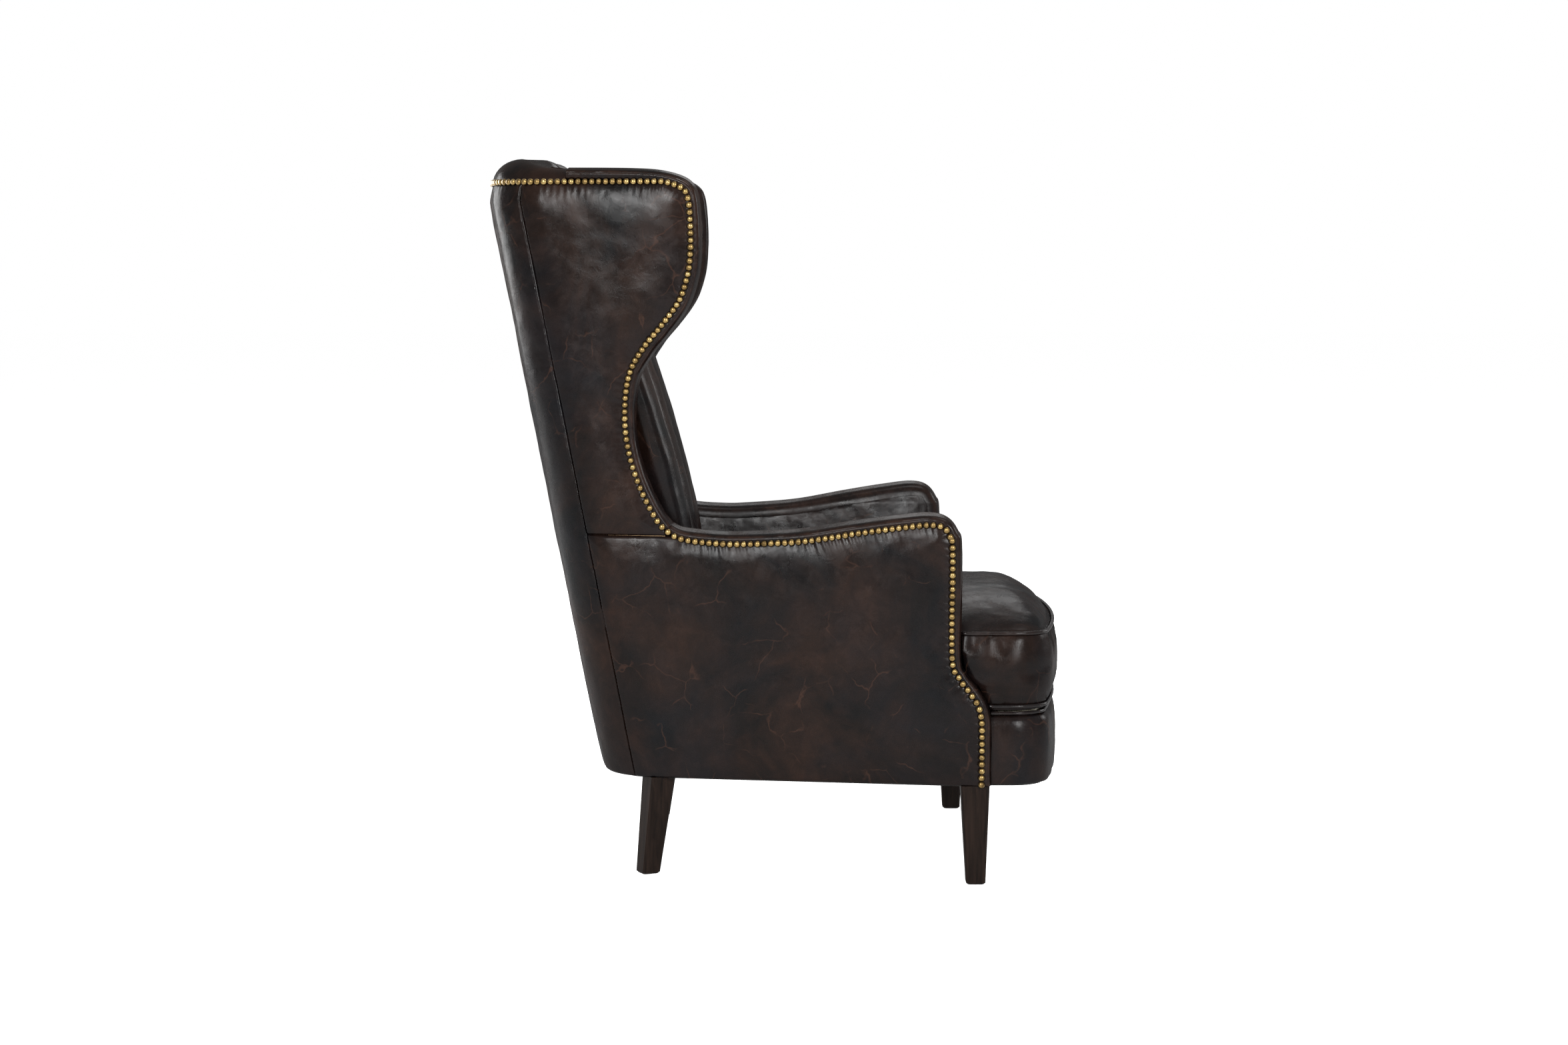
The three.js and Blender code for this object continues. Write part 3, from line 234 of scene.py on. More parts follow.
# Places that follow from the sizes above
BACK_REACH = CHAIR_DEPTH / 2
CORNER_X = (BACK_RADIUS - CORNER_RADIUS) * math.sin(BACK_ANGLE)
CORNER_Y = BACK_REACH - BACK_RADIUS + (BACK_RADIUS - CORNER_RADIUS) * math.cos(BACK_ANGLE)
SIDE_ANGLE = math.pi / 2 - SIDE_FLARE
BACK_RUN = BACK_RADIUS * BACK_ANGLE
SIDE_RUN = BACK_RUN + CORNER_RADIUS * (SIDE_ANGLE - BACK_ANGLE)
SIDE_X = CORNER_X + CORNER_RADIUS * math.sin(SIDE_ANGLE)
SIDE_Y = CORNER_Y + CORNER_RADIUS * math.cos(SIDE_ANGLE)
SEAM_RUN = BACK_RUN + CORNER_RADIUS * (SIDE_SEAM_ANGLE - BACK_ANGLE)


# The shell

def lean(height):
    """Shift in y of the shell's plan at a height."""
    below = np.minimum(height, SHOULDER_HEIGHT) - SHOULDER_HEIGHT
    above = np.maximum(height, SHOULDER_HEIGHT) - SHOULDER_HEIGHT
    return RECLINE * below - SHOULDER_ROLL * above


def thickness_at(height):
    share = np.clip((height - THICK_BELOW) / (THIN_ABOVE - THICK_BELOW), 0, 1)
    return ARM_THICKNESS + (WING_THICKNESS - ARM_THICKNESS) * share


def wall_points(run, height, depth):
    """Places in space of points of the wall, from run round the shell, height and depth inwards."""
    run, height, depth = np.broadcast_arrays(*(np.asarray(k, float) for k in (run, height, depth)))
    away = np.abs(run)
    in_back = away <= BACK_RUN
    angle = np.where(in_back, away / BACK_RADIUS, BACK_ANGLE + (away - BACK_RUN) / CORNER_RADIUS)
    angle = np.minimum(angle, SIDE_ANGLE)
    radius = np.where(in_back, BACK_RADIUS, CORNER_RADIUS) - depth
    x = np.where(in_back, 0, CORNER_X) + radius * np.sin(angle)
    y = np.where(in_back, BACK_REACH - BACK_RADIUS, CORNER_Y) + radius * np.cos(angle)
    past = np.maximum(away - SIDE_RUN, 0)
    square = np.clip(past / SQUARE_RUN, 0, 1)
    normal_x = math.sin(SIDE_ANGLE) * (1 - square) + square / math.cos(SIDE_FLARE)
    normal_y = math.cos(SIDE_ANGLE) * (1 - square)
    side_x = SIDE_X + past * math.sin(SIDE_FLARE) - depth * normal_x
    side_y = SIDE_Y - past * math.cos(SIDE_FLARE) - depth * normal_y
    x = np.where(past > 0, side_x, x)
    y = np.where(past > 0, side_y, y)
    return np.stack([np.where(run < 0, -x, x), y + lean(height), height], -1)


def run_at(y, height):
    return SIDE_RUN + (SIDE_Y + lean(height) - y) / math.cos(SIDE_FLARE)


def side_x(y, height, depth):
    return SIDE_X + (SIDE_Y + lean(height) - y) * math.tan(SIDE_FLARE) - depth / math.cos(SIDE_FLARE)


def bent_depth(height, depth):
    """Depth in a wall of local thickness, from the depth it would have in the thick arm."""
    spare = (thickness_at(height) - LINING) / (ARM_THICKNESS - LINING)
    return np.where(depth <= LINING, depth, LINING + (depth - LINING) * spare)


# Lines

def smooth_line(knots, step):
    """A smooth line through knots, with points an even step apart."""
    points = np.asarray(knots, float)
    padded = np.vstack([points[:1], points, points[-1:]])
    share = np.linspace(0, 1, 16, endpoint=False)[:, None]
    fine = []
    for i in range(len(points) - 1):
        a, b, c, d = padded[i : i + 4]
        bend = (2 * a - 5 * b + 4 * c - d) * share**2
        twist = (3 * b - 3 * c + d - a) * share**3
        fine.append(0.5 * (2 * b + (c - a) * share + bend + twist))
    return even_line(np.vstack(fine + [points[-1:]]), step)


def lengths_along(points):
    return np.concatenate([[0], np.cumsum(np.linalg.norm(np.diff(points, axis=0), axis=1))])


def even_line(points, step):
    """The same line with its points an even step apart."""
    lengths = lengths_along(points)
    count = max(int(round(lengths[-1] / step)), 2)
    places = np.linspace(0, lengths[-1], count + 1)
    return np.stack([np.interp(places, lengths, points[:, k]) for k in range(points.shape[1])], 1)


def edge_knots():
    """Front edge of a wall, from the top of the wing to the foot of the toe, in y and z."""
    nose_end = ARM_FRONT + NOSE_DEPTH
    stretches = (
        (WING_SHARES, WING_FRONT, WAIST_BACK, DIP_HEIGHT, WING_TOP),
        (ARM_SHARES, nose_end, WING_FRONT, DIP_HEIGHT, ARM_TOP),
        (NOSE_SHARES, ARM_FRONT, nose_end, ARM_TOP - ARM_NOSE, ARM_TOP),
        (OGEE_SHARES, ARM_FRONT, TOE_FRONT, OGEE_FOOT, OGEE_TOP),
    )
    knots = [[BAND_END, WING_TOP]]
    for shares, near, far, low, high in stretches:
        knots += [[near + (far - near) * across, low + (high - low) * up] for across, up in shares]
    return knots + [[TOE_FRONT, BASE_HEIGHT]]


edge_yz = smooth_line(edge_knots(), EDGE_STEP)
mitre_yz = edge_knots()[MITRE_KNOT]
mitre_index = int(np.argmin(np.hypot(*(edge_yz - mitre_yz).T)))
edge_line = np.stack([run_at(edge_yz[:, 0], edge_yz[:, 1]), edge_yz[:, 1]], 1)


def at_height(plan, height):
    return np.column_stack([plan, np.full(len(plan), height)])


def line_normals(line):
    """Unit normals of a line of runs and heights, pointing into the wall."""
    along = np.gradient(line, axis=0)
    along /= np.linalg.norm(along, axis=1)[:, None]
    return np.stack([along[:, 1], -along[:, 0]], 1)


edge_inwards = line_normals(edge_line)


def inset_line(inset):
    return edge_line + edge_inwards * inset


# Meshes

def new_object(name, data):
    thing = bpy.data.objects.new(name, data)
    bpy.context.scene.collection.objects.link(thing)
    return thing


def mesh_object(name, points, faces, body="chair"):
    """A piece from points in millimetres and faces, riding on a body."""
    mesh = bpy.data.meshes.new(name)
    mesh.from_pydata((np.asarray(points, float) * MM).tolist(), [], [list(f) for f in faces])
    piece = new_object(name, mesh)
    turn_outwards(mesh)
    mesh.shade_smooth()
    mesh.set_sharp_from_angle(angle=SHARP_EDGE)
    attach(piece, body)
    return piece


def turn_outwards(mesh):
    shape = bmesh.new()
    shape.from_mesh(mesh)
    bmesh.ops.remove_doubles(shape, verts=shape.verts, dist=1e-5)
    bmesh.ops.recalc_face_normals(shape, faces=shape.faces)
    shape.to_mesh(mesh)
    shape.free()


def vertex_places(mesh):
    places = np.zeros(len(mesh.vertices) * 3)
    mesh.vertices.foreach_get("co", places)
    return places.reshape(-1, 3)


def mirror_object(piece, name):
    """The mirror image of a piece, for the other side of the chair."""
    mesh = piece.data.copy()
    mesh.name = name
    places = vertex_places(mesh)
    places[:, 0] *= -1
    mesh.vertices.foreach_set("co", places.ravel())
    mesh.flip_normals()
    twin = new_object(name, mesh)
    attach(twin, "chair")
    return twin


def store(piece, name, values):
    """One number for each point, for the materials to read."""
    attribute = piece.data.attributes.new(name, "FLOAT", "POINT")
    attribute.data.foreach_set("value", np.asarray(values, np.float32))


def apply_modifiers(piece):
    """The piece's modifiers worked into its mesh."""
    graph = bpy.context.evaluated_depsgraph_get()
    graph.update()
    mesh = bpy.data.meshes.new_from_object(piece.evaluated_get(graph), depsgraph=graph)
    piece.modifiers.clear()
    piece.data = mesh


def loft_faces(rings, count, closed_ring=True, loop=False):
    """Faces between rings of points, from the last ring back to the first where they make a loop."""
    faces = []
    for i in range(rings if loop else rings - 1):
        here = i * count
        after = ((i + 1) % rings) * count
        for j in range(count if closed_ring else count - 1):
            k = (j + 1) % count
            faces.append((here + j, here + k, after + k, after + j))
    return faces


def capped_faces(rings, count):
    """Faces between rings of points, with the first and the last ring filled."""
    ends = [tuple(range(count))[::-1], tuple(range((rings - 1) * count, rings * count))]
    return loft_faces(rings, count) + ends


def wrinkle(places, size, depth, seed):
    """Soft unevenness of hide pulled over padding, in millimetres, at places in millimetres."""
    shift = Vector((seed * 13.7, seed * 5.1, seed * 9.3))
    waves = [noise.fractal(Vector(place) / size + shift, 0.9, 2.0, 3) for place in places]
    return depth * np.array(waves)


# Leather panels and pads of the walls

def nail_path():
    """Runs and heights of the nail row, from the foot of one wall round to the other."""
    line = inset_line(NAIL_INSET - 0.5)[::-1]
    side = line[: np.argmax(line[:, 1] > NAIL_ROW_HEIGHT)]
    row = np.array([[run, NAIL_ROW_HEIGHT] for run in np.linspace(side[-1][0] - 6, 0, 60)])
    half = np.vstack([side, row])
    other = half[:-1][::-1].copy()
    other[:, 0] *= -1
    return np.vstack([half, other])


nail_fine = even_line(nail_path(), 1)
nail_count = len(even_line(nail_path(), NAIL_PITCH)) - 1
nail_finder = KDTree(len(nail_fine))
for nail_index, (nail_run, nail_height) in enumerate(nail_fine):
    nail_finder.insert((nail_run, nail_height, 0), nail_index)
nail_finder.balance()


def fill_outline(outline, step):
    """Points and triangles that fill an outline in runs and heights, the outline's points first."""
    points = [outline]
    low = outline.min(0)
    high = outline.max(0)
    for spacing, nearest, furthest in ((MARGIN_STEP, 0.55 * MARGIN_STEP, MARGIN), (step, MARGIN, 1e9)):
        row_height = spacing * math.sqrt(3) / 2
        grid = []
        for row in range(int((high[1] - low[1]) / row_height) + 1):
            runs = np.arange(low[0] + (row % 2) * spacing / 2, high[0], spacing)
            grid.append(at_height(runs, low[1] + row * row_height))
        grid = np.vstack(grid)
        grid = grid[inside(outline, grid)]
        away = distance_to(outline, grid)
        points.append(grid[(away > nearest) & (away <= furthest)])
    count = len(outline)
    edges = [(i, (i + 1) % count) for i in range(count)]
    places = [Vector(p) for p in np.vstack(points)]
    verts, _, faces, _, _, _ = delaunay_2d_cdt(places, edges, [list(range(count))], 1, 1e-6)
    return np.array([list(v) for v in verts]), [tuple(f) for f in faces]


def inside(outline, points):
    """Which points lie within a closed outline."""
    hit = np.zeros(len(points), bool)
    for a, b in zip(outline, np.roll(outline, -1, 0)):
        if a[1] == b[1]:
            continue
        crosses = (a[1] > points[:, 1]) != (b[1] > points[:, 1])
        at = a[0] + (points[:, 1] - a[1]) / (b[1] - a[1]) * (b[0] - a[0])
        hit ^= crosses & (points[:, 0] < at)
    return hit


def distance_to(outline, points):
    """Distance of each point from a closed outline."""
    best = np.full(len(points), 1e9)
    for a, b in zip(outline, np.roll(outline, -1, 0)):
        along = b - a
        share = np.clip(((points - a) @ along) / max(along @ along, 1e-9), 0, 1)
        best = np.minimum(best, np.linalg.norm(points - a - share[:, None] * along, axis=1))
    return best


def nail_pull(flat):
    """How far the leather stands out beside the nails: held in at each one, puckered between them."""
    away = np.full(len(flat), 1e3)
    place = np.zeros(len(flat))
    for i, (run, height) in enumerate(flat):
        _, index, distance = nail_finder.find((run, height, 0))
        away[i] = distance
        place[i] = index
    ease = np.exp(-np.maximum(away - NAIL_WIDTH / 2, 0) / PUCKER_REACH)
    turn = 2 * math.pi * place / (len(nail_fine) - 1) * nail_count
    share = np.array([0.6 + 0.9 * noise.noise(Vector((p * 0.013, 3.1, 0.7))) for p in place])
    return -NAIL_HOLD * ease - PUCKER_DEPTH * share * ease * np.cos(turn)


def outer_face(height):
    """Depth of the shell's outer face, which is none at any height."""
    return height * 0


def wall_piece(name, outline, depth_at, thickness, step, seed, roll, swell, inner=False):
    """A leather piece of the wall, full in the middle and rolled over at its edges."""
    flat, faces = fill_outline(even_closed(outline, step * 0.8), step)
    edge = distance_to(outline, flat)
    rise = 1 - np.clip(1 - edge / roll, 0, 1) ** 2
    fullness = 1 - np.exp(-edge / SWELL_REACH)
    runs, heights = flat.T
    face = depth_at(heights)
    surface = wall_points(runs, heights, face)
    uneven = wrinkle(surface, *WALL_WAVES, seed) + wrinkle(surface, *WALL_RIPPLES, seed + 3)
    out = (rise - 1) * min(thickness * 0.8, roll * 0.6) + swell * fullness + uneven * rise
    if not inner:
        out = out + nail_pull(flat) * rise
    side = 1 if inner else -1
    front = wall_points(runs, heights, face + side * out)
    back = wall_points(runs, heights, face - side * thickness)
    return mesh_object(name, *closed_sheet(front, back, faces))


def even_closed(outline, step):
    """A closed outline with more points, its own corners kept."""
    fine = []
    for a, b in zip(outline, np.roll(outline, -1, 0)):
        count = max(int(np.linalg.norm(b - a) / step), 1)
        fine.append(a + (b - a) * np.linspace(0, 1, count, endpoint=False)[:, None])
    return np.vstack(fine)


def closed_sheet(front, back, faces):
    """A face skin, its turned-in sides and the skin behind it, as one closed form."""
    count = len(front)
    edges = {(a, b): True for face in faces for a, b in zip(face, face[1:] + face[:1])}
    behind = [tuple(count + i for i in face[::-1]) for face in faces]
    sides = [(b, a, count + a, count + b) for a, b in edges if (b, a) not in edges]
    return np.vstack([front, back]), list(faces) + behind + sides


def arm_outline(inset, low, high, rear):
    """Outline of the arm between its edge and a rear run, with a level head behind the mitre."""
    line = inset_line(inset)[mitre_index:]
    part = line[int(np.argmax(line[:, 1] < high)) :]
    part = part[part[:, 1] > low]
    return np.vstack([[rear, low], [part[-1][0], low], part[::-1], [rear, high]])


def wing_outline(inset, low, high, rear):
    """Outline of the wing between its edge and a rear run, above a height."""
    line = inset_line(inset)[:mitre_index]
    part = line[int(np.argmax(line[:, 1] < high)) :]
    part = part[part[:, 1] > low + 1]
    return np.vstack([[rear, low], [part[-1][0], low], part[::-1], [part[0][0], high], [rear, high]])


def outer_panels():
    """Outer leather of one wing and one arm, each with the node it stands for."""
    rear = SEAM_RUN + SEAM_FIT
    wing = wing_outline(NAIL_INSET, WING_SEAM + SEAM_FIT, BACK_TOP, rear)
    arm = arm_outline(NAIL_INSET, BASE_HEIGHT, WING_SEAM - SEAM_FIT, rear)
    pieces = []
    for name, outline, seed in (("outer_wing", wing, 1), ("outer_arm", arm, 2)):
        shape = (outer_face, SKIN, HIDE_STEP, seed, PANEL_ROLL, PANEL_SWELL)
        pieces.append((wall_piece(f"{name}_leather", outline, *shape), f"{name}_panel"))
    return pieces


def back_panel():
    low, high = BASE_HEIGHT, BACK_TOP
    outline = np.array([[-SEAM_RUN, low], [SEAM_RUN, low], [SEAM_RUN, high], [-SEAM_RUN, high]])
    shape = (outer_face, SKIN, BACK_STEP, 5, PANEL_ROLL, BACK_SWELL)
    return wall_piece("outer_back_leather", outline, *shape)


def inner_pads():
    """Inner pads of one wing and one arm, each with the node it stands for."""
    wing = wing_outline(BAND_INSET, WING_SEAM + SEAM_FIT, BACK_TOP, PAD_REAR)
    arm = arm_outline(BAND_INSET, RAIL_TOP + GAP, WING_SEAM - SEAM_FIT, PAD_REAR)
    pieces = []
    for name, outline, seed in (("inner_wing", wing, 7), ("inner_arm", arm, 9)):
        shape = (thickness_at, PAD_DEPTH, HIDE_STEP, seed, PAD_ROLL, PAD_SWELL, True)
        pieces.append((wall_piece(f"{name}_leather", outline, *shape), f"{name}_pad"))
    return pieces


def band_section():
    """Inset, depth and a lighter tone round the edge band, for a wall as thick as the arm: the lighter
    tone along the creases is partly worn leather and partly a painted highlight.
    """
    quarter = math.pi / 2
    crown = [(-2.2 * math.cos(a) ** 2, 40 + 25 * a / quarter, 0.2) for a in np.linspace(-1.3, 1.3, 7)]
    # The third number of each point lightens the leather there: worn edges together with a painted
    # highlight along the creases.
    outer = [
        (15.7, 1.2, 0), (13.5, 0.2, 0), (10.8, -0.2, 0), (9, -0.5, 0.1), (7.4, -0.2, 0.7), (6.7, 1.0, 0),
        (6.2, 1.2, 0), (5.4, 0.8, 0.9), (4.2, 1.7, 0.5), (2.6, 4.0, 0.2), (1.2, 8, 0), (0.3, 13, 0),
    ]
    inner = [
        (0.3, 64, 0), (1.4, 69.5, 0), (3.4, 74, 0.2), (6.2, 77.2, 0.4), (10, 79.2, 0.3), (15, 80.1, 0),
        (20, 80.2, 0), (21.6, 80.1, 0), (21.9, 79.4, 0), (21.9, 34, 0), (15.7, 4, 0),
    ]
    return np.array(outer + crown + inner)


def edge_band(name, first, last, seed):
    """The padded leather band over a wall's front edge, creased along both its sides."""
    insets, depths, wear = band_section().T
    beside_nails = (insets > 7) & (depths < 2)
    middle = ARM_THICKNESS / 2
    at_sides = np.abs(depths - middle) > 0.8 * middle
    rings = []
    for i in range(first, last + 1):
        pinch = MITRE_PINCH * math.exp(-abs(i - mitre_index) * EDGE_STEP / 3)
        drawn = np.where(insets < 8, insets + pinch, insets)
        sunk = depths + pinch * np.sign(middle - depths) * at_sides
        flat = edge_line[i] + drawn[:, None] * edge_inwards[i]
        pull = np.where(beside_nails, 0.5 * nail_pull(flat), 0)
        rings.append(wall_points(flat[:, 0], flat[:, 1], bent_depth(flat[:, 1], sunk) - pull))
    points = np.vstack(rings)
    points[:, 1] += np.tile(insets < 5, len(rings)) * wrinkle(points, *BAND_WAVES, seed)
    piece = mesh_object(name, points, capped_faces(len(rings), len(insets)))
    # The third column goes to the material as a lighter brown: worn edges and a painted crease
    # highlight.
    store(piece, "wear", np.tile(wear, len(rings)))
    return piece


# Nailheads

def nail_places():
    """Places of the nailheads and the way each one points."""
    flat = even_line(nail_path(), NAIL_PITCH)
    places = wall_points(flat[:, 0], flat[:, 1], -NAIL_SEAT)
    normals = places - wall_points(flat[:, 0], flat[:, 1], 4)
    return places, normals / np.linalg.norm(normals, axis=1)[:, None]


def dome_shape():
    """A domed nailhead one unit wide, standing on the leather at its rim."""
    points = []
    for radius, height in DOME_RINGS:
        for k in range(DOME_SIDES):
            angle = 2 * math.pi * k / DOME_SIDES
            points.append((radius * math.cos(angle), radius * math.sin(angle), height))
    points.append((0, 0, DOME_TOP))
    faces = loft_faces(len(DOME_RINGS), DOME_SIDES)
    last = (len(DOME_RINGS) - 1) * DOME_SIDES
    faces += [(last + k, last + (k + 1) % DOME_SIDES, last + DOME_SIDES) for k in range(DOME_SIDES)]
    faces.append(tuple(range(DOME_SIDES))[::-1])
    mesh = bpy.data.meshes.new("nailhead_shape")
    mesh.from_pydata(points, [], faces)
    mesh.shade_smooth()
    return new_object("nailhead_shape", mesh)


def socket(tree, name, kind, value=None, output=False):
    item = tree.interface.new_socket(name, in_out="OUTPUT" if output else "INPUT", socket_type=kind)
    if value is not None:
        item.default_value = value
    return item


def nail_tree(dome, material):
    """Domes on the points of a mesh, each turned to its stored normal and set a little unevenly."""
    tree = bpy.data.node_groups.new("nail_row", "GeometryNodeTree")
    socket(tree, "Points", "NodeSocketGeometry")
    socket(tree, "Width", "NodeSocketFloat", NAIL_WIDTH * MM)
    socket(tree, "Tilt", "NodeSocketFloat", NAIL_TILT)
    socket(tree, "Seed", "NodeSocketInt", NAIL_SEED)
    socket(tree, "Nails", "NodeSocketGeometry", output=True)
    given = add_node(tree, "NodeGroupInput").outputs
    result = add_node(tree, "NodeGroupOutput")
    normal = add_node(
        tree, "GeometryNodeInputNamedAttribute", {"data_type": "FLOAT_VECTOR"}, Name="outwards"
    )
    align = add_node(tree, "FunctionNodeAlignRotationToVector", {"axis": "Z"})
    tilt = add_node(tree, "FunctionNodeRandomValue", {"data_type": "FLOAT_VECTOR"})
    low = add_node(tree, "ShaderNodeMath", {"operation": "MULTIPLY"})
    low.inputs[1].default_value = -1
    turn = add_node(tree, "FunctionNodeRotateRotation", {"rotation_space": "LOCAL"})
    size = add_node(tree, "FunctionNodeRandomValue", {"data_type": "FLOAT"})
    size.inputs[2].default_value = 1 - NAIL_SPREAD
    size.inputs[3].default_value = 1 + NAIL_SPREAD
    scale = add_node(tree, "ShaderNodeMath", {"operation": "MULTIPLY"})
    shape = add_node(tree, "GeometryNodeObjectInfo", None, Object=dome)
    place = add_node(tree, "GeometryNodeInstanceOnPoints")
    real = add_node(tree, "GeometryNodeRealizeInstances")
    paint = add_node(tree, "GeometryNodeSetMaterial", None, Material=material)
    link = tree.links.new
    link(given["Tilt"], low.inputs[0])
    link(low.outputs[0], tilt.inputs[0])
    link(given["Tilt"], tilt.inputs[1])
    link(given["Width"], scale.inputs[0])
    link(size.outputs[1], scale.inputs[1])
    feed(tree, tilt, Seed=given["Seed"])
    feed(tree, size, Seed=given["Seed"])
    feed(tree, align, Vector=normal.outputs["Attribute"])
    feed(tree, turn, Rotation=align.outputs[0], Rotate_By=tilt.outputs[0])
    feed(tree, place, Points=given["Points"], Instance=shape.outputs["Geometry"])
    feed(tree, place, Rotation=turn.outputs[0], Scale=scale.outputs[0])
    feed(tree, real, Geometry=place.outputs["Instances"])
    feed(tree, paint, Geometry=real.outputs["Geometry"])
    feed(tree, result, Nails=paint.outputs["Geometry"])
    return tree


def set_inputs(modifier, values):
    """Sets a node modifier's inputs by their identifiers."""
    for item in modifier.node_group.interface.items_tree:
        if item.item_type == "SOCKET" and item.in_out == "INPUT" and item.name in values:
            modifier[item.identifier] = values[item.name]


def nailheads(material):
    """The whole row of nailheads as one mesh."""
    places, normals = nail_places()
    mesh = bpy.data.meshes.new("nailheads")
    mesh.from_pydata((places * MM).tolist(), [], [])
    attribute = mesh.attributes.new("outwards", "FLOAT_VECTOR", "POINT")
    attribute.data.foreach_set("vector", normals.astype(np.float32).ravel())
    row = new_object("nailheads", mesh)
    dome = dome_shape()
    modifier = row.modifiers.new("nail_row", "NODES")
    modifier.node_group = nail_tree(dome, material)
    set_inputs(modifier, {"Width": NAIL_WIDTH * MM, "Tilt": NAIL_TILT, "Seed": NAIL_SEED})
    apply_modifiers(row)
    bpy.data.objects.remove(dome)
    row.data.shade_smooth()
    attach(row, "chair")


# Seat: border, cushion and welts

def nose_half(inset, ear_steps=14, nose_steps=24):
    """Half of the seat's bowed front: round an ear, then along the nose to its middle."""
    centre_x = EAR_HALF_WIDTH - EAR_RADIUS
    radius = EAR_RADIUS + centre_x / math.sin(NOSE_TURN)
    front = -CHAIR_DEPTH / 2
    centre_y = front + radius - (radius - EAR_RADIUS) * math.cos(NOSE_TURN)
    ear = EAR_RADIUS - inset
    nose = radius - inset
    points = []
    for i in range(ear_steps + 1):
        angle = (math.pi / 2 - NOSE_TURN) * i / ear_steps
        points.append((centre_x + ear * math.cos(angle), centre_y - ear * math.sin(angle)))
    for i in range(1, nose_steps + 1):
        angle = NOSE_TURN * (1 - i / nose_steps)
        points.append((nose * math.sin(angle), front + radius - nose * math.cos(angle)))
    return np.array(points)


def both_sides(half):
    other = half[np.abs(half[:, 0]) > 1e-3][::-1].copy()
    other[:, 0] *= -1
    return np.vstack([half, other])


def nose_line(inset, rear):
    return both_sides(np.vstack([[EAR_HALF_WIDTH - inset, rear], nose_half(inset)]))


def front_border():
    """The padded border under the cushion, bowed along its length and full in its height."""
    base = even_line(nose_line(0, TOE_FRONT - GAP), BORDER_STEP)
    rings = []
    for (x, y), (in_x, in_y) in zip(base, line_normals(base)):
        rings += [(x + in_x * inset, y + in_y * inset, height) for inset, height in BORDER_PROFILE]
    points = np.array(rings)
    count = len(BORDER_PROFILE)
    outer = np.tile([0] + [1] * (count - 2) + [0], len(base))
    points[:, 1] -= outer * wrinkle(points, *BORDER_WAVES)
    return mesh_object("front_border_leather", points, capped_faces(len(base), count))


def ogee_place(height):
    """Where in y the ogee under the arm's nose stands at a height."""
    outs, ups = zip(*OGEE_SHARES[::-1])
    share = np.clip((height - OGEE_FOOT) / (OGEE_TOP - OGEE_FOOT), 0, 1)
    return ARM_FRONT + (TOE_FRONT - ARM_FRONT) * np.interp(share, ups, outs)


def cushion_ring(height, inset):
    """Outline of the cushion at a height, moved in by an inset, with where in y it draws in to."""
    fit = ARM_THICKNESS + CUSHION_FIT
    ear_rear = ogee_place(max(height, SEAM_LOW + 3.5)) - EAR_FIT - 0.15 * inset
    ear_middle = ear_rear - EAR_DRAW
    rear = CUSHION_REAR - inset
    centre_x = side_x(CUSHION_REAR, CUSHION_BOTTOM, fit) - CUSHION_CORNER
    centre_y = CUSHION_REAR - CUSHION_CORNER
    radius = CUSHION_CORNER - inset
    side = EAR_HALF_WIDTH - CUSHION_FIT - inset
    rounding = max(6 - inset * (2 - math.sqrt(2)), 1)
    rows = [(0, rear, CUSHION_MIDDLE)]
    rows += [(x, rear, CUSHION_MIDDLE) for x in np.linspace(15, centre_x, 12)]
    for angle in np.linspace(0, math.pi / 2, 7)[1:]:
        corner = (centre_x + radius * math.sin(angle), centre_y + radius * math.cos(angle))
        rows.append((*corner, CUSHION_MIDDLE))
    start = (centre_x + radius, centre_y)
    end = (side_x(ear_rear, CUSHION_BOTTOM, fit) - inset, ear_rear)
    for k in np.linspace(0, 1, 26)[1:]:
        target = CUSHION_MIDDLE + (ear_middle - CUSHION_MIDDLE) * k
        rows.append((start[0] + (end[0] - start[0]) * k, start[1] + (end[1] - start[1]) * k, target))
    rows.append((side - rounding, ear_rear, ear_middle))
    rows.append((side - rounding * 0.3, ear_rear - rounding * 0.3, ear_rear - rounding - EAR_DRAW))
    rows.append((side, ear_rear - rounding, ear_rear - rounding - EAR_DRAW))
    rows += [(x, y, CUSHION_NOSE_MIDDLE) for x, y in nose_half(CUSHION_FIT + inset)]
    return both_sides(np.array(rows))


def drawn_ring(height, inset, share=0):
    """Even points of the cushion's outline, drawn to its middle by a share."""
    return even_ring(cushion_ring(height, inset), CUSHION_COLUMNS, height, share)


def even_ring(ring, columns, height, share=0):
    """Even points along an outline at a height, drawn to its middle by a share."""
    ring = np.vstack([ring, ring[:1]])
    lengths = lengths_along(ring[:, :2])
    places = np.linspace(0, lengths[-1], columns + 1)[:-1]
    x, y, target = (np.interp(places, lengths, ring[:, k]) for k in range(3))
    return at_height(np.column_stack([x * (1 - share), y + (target - y) * 0.75 * share]), height)


def on_seam(height):
    """Whether a height is at or below the cushion's low seam, or on its top seam."""
    return (height <= SEAM_LOW + SEAM_REACH) | (np.abs(height - SEAM_TOP) < SEAM_REACH)


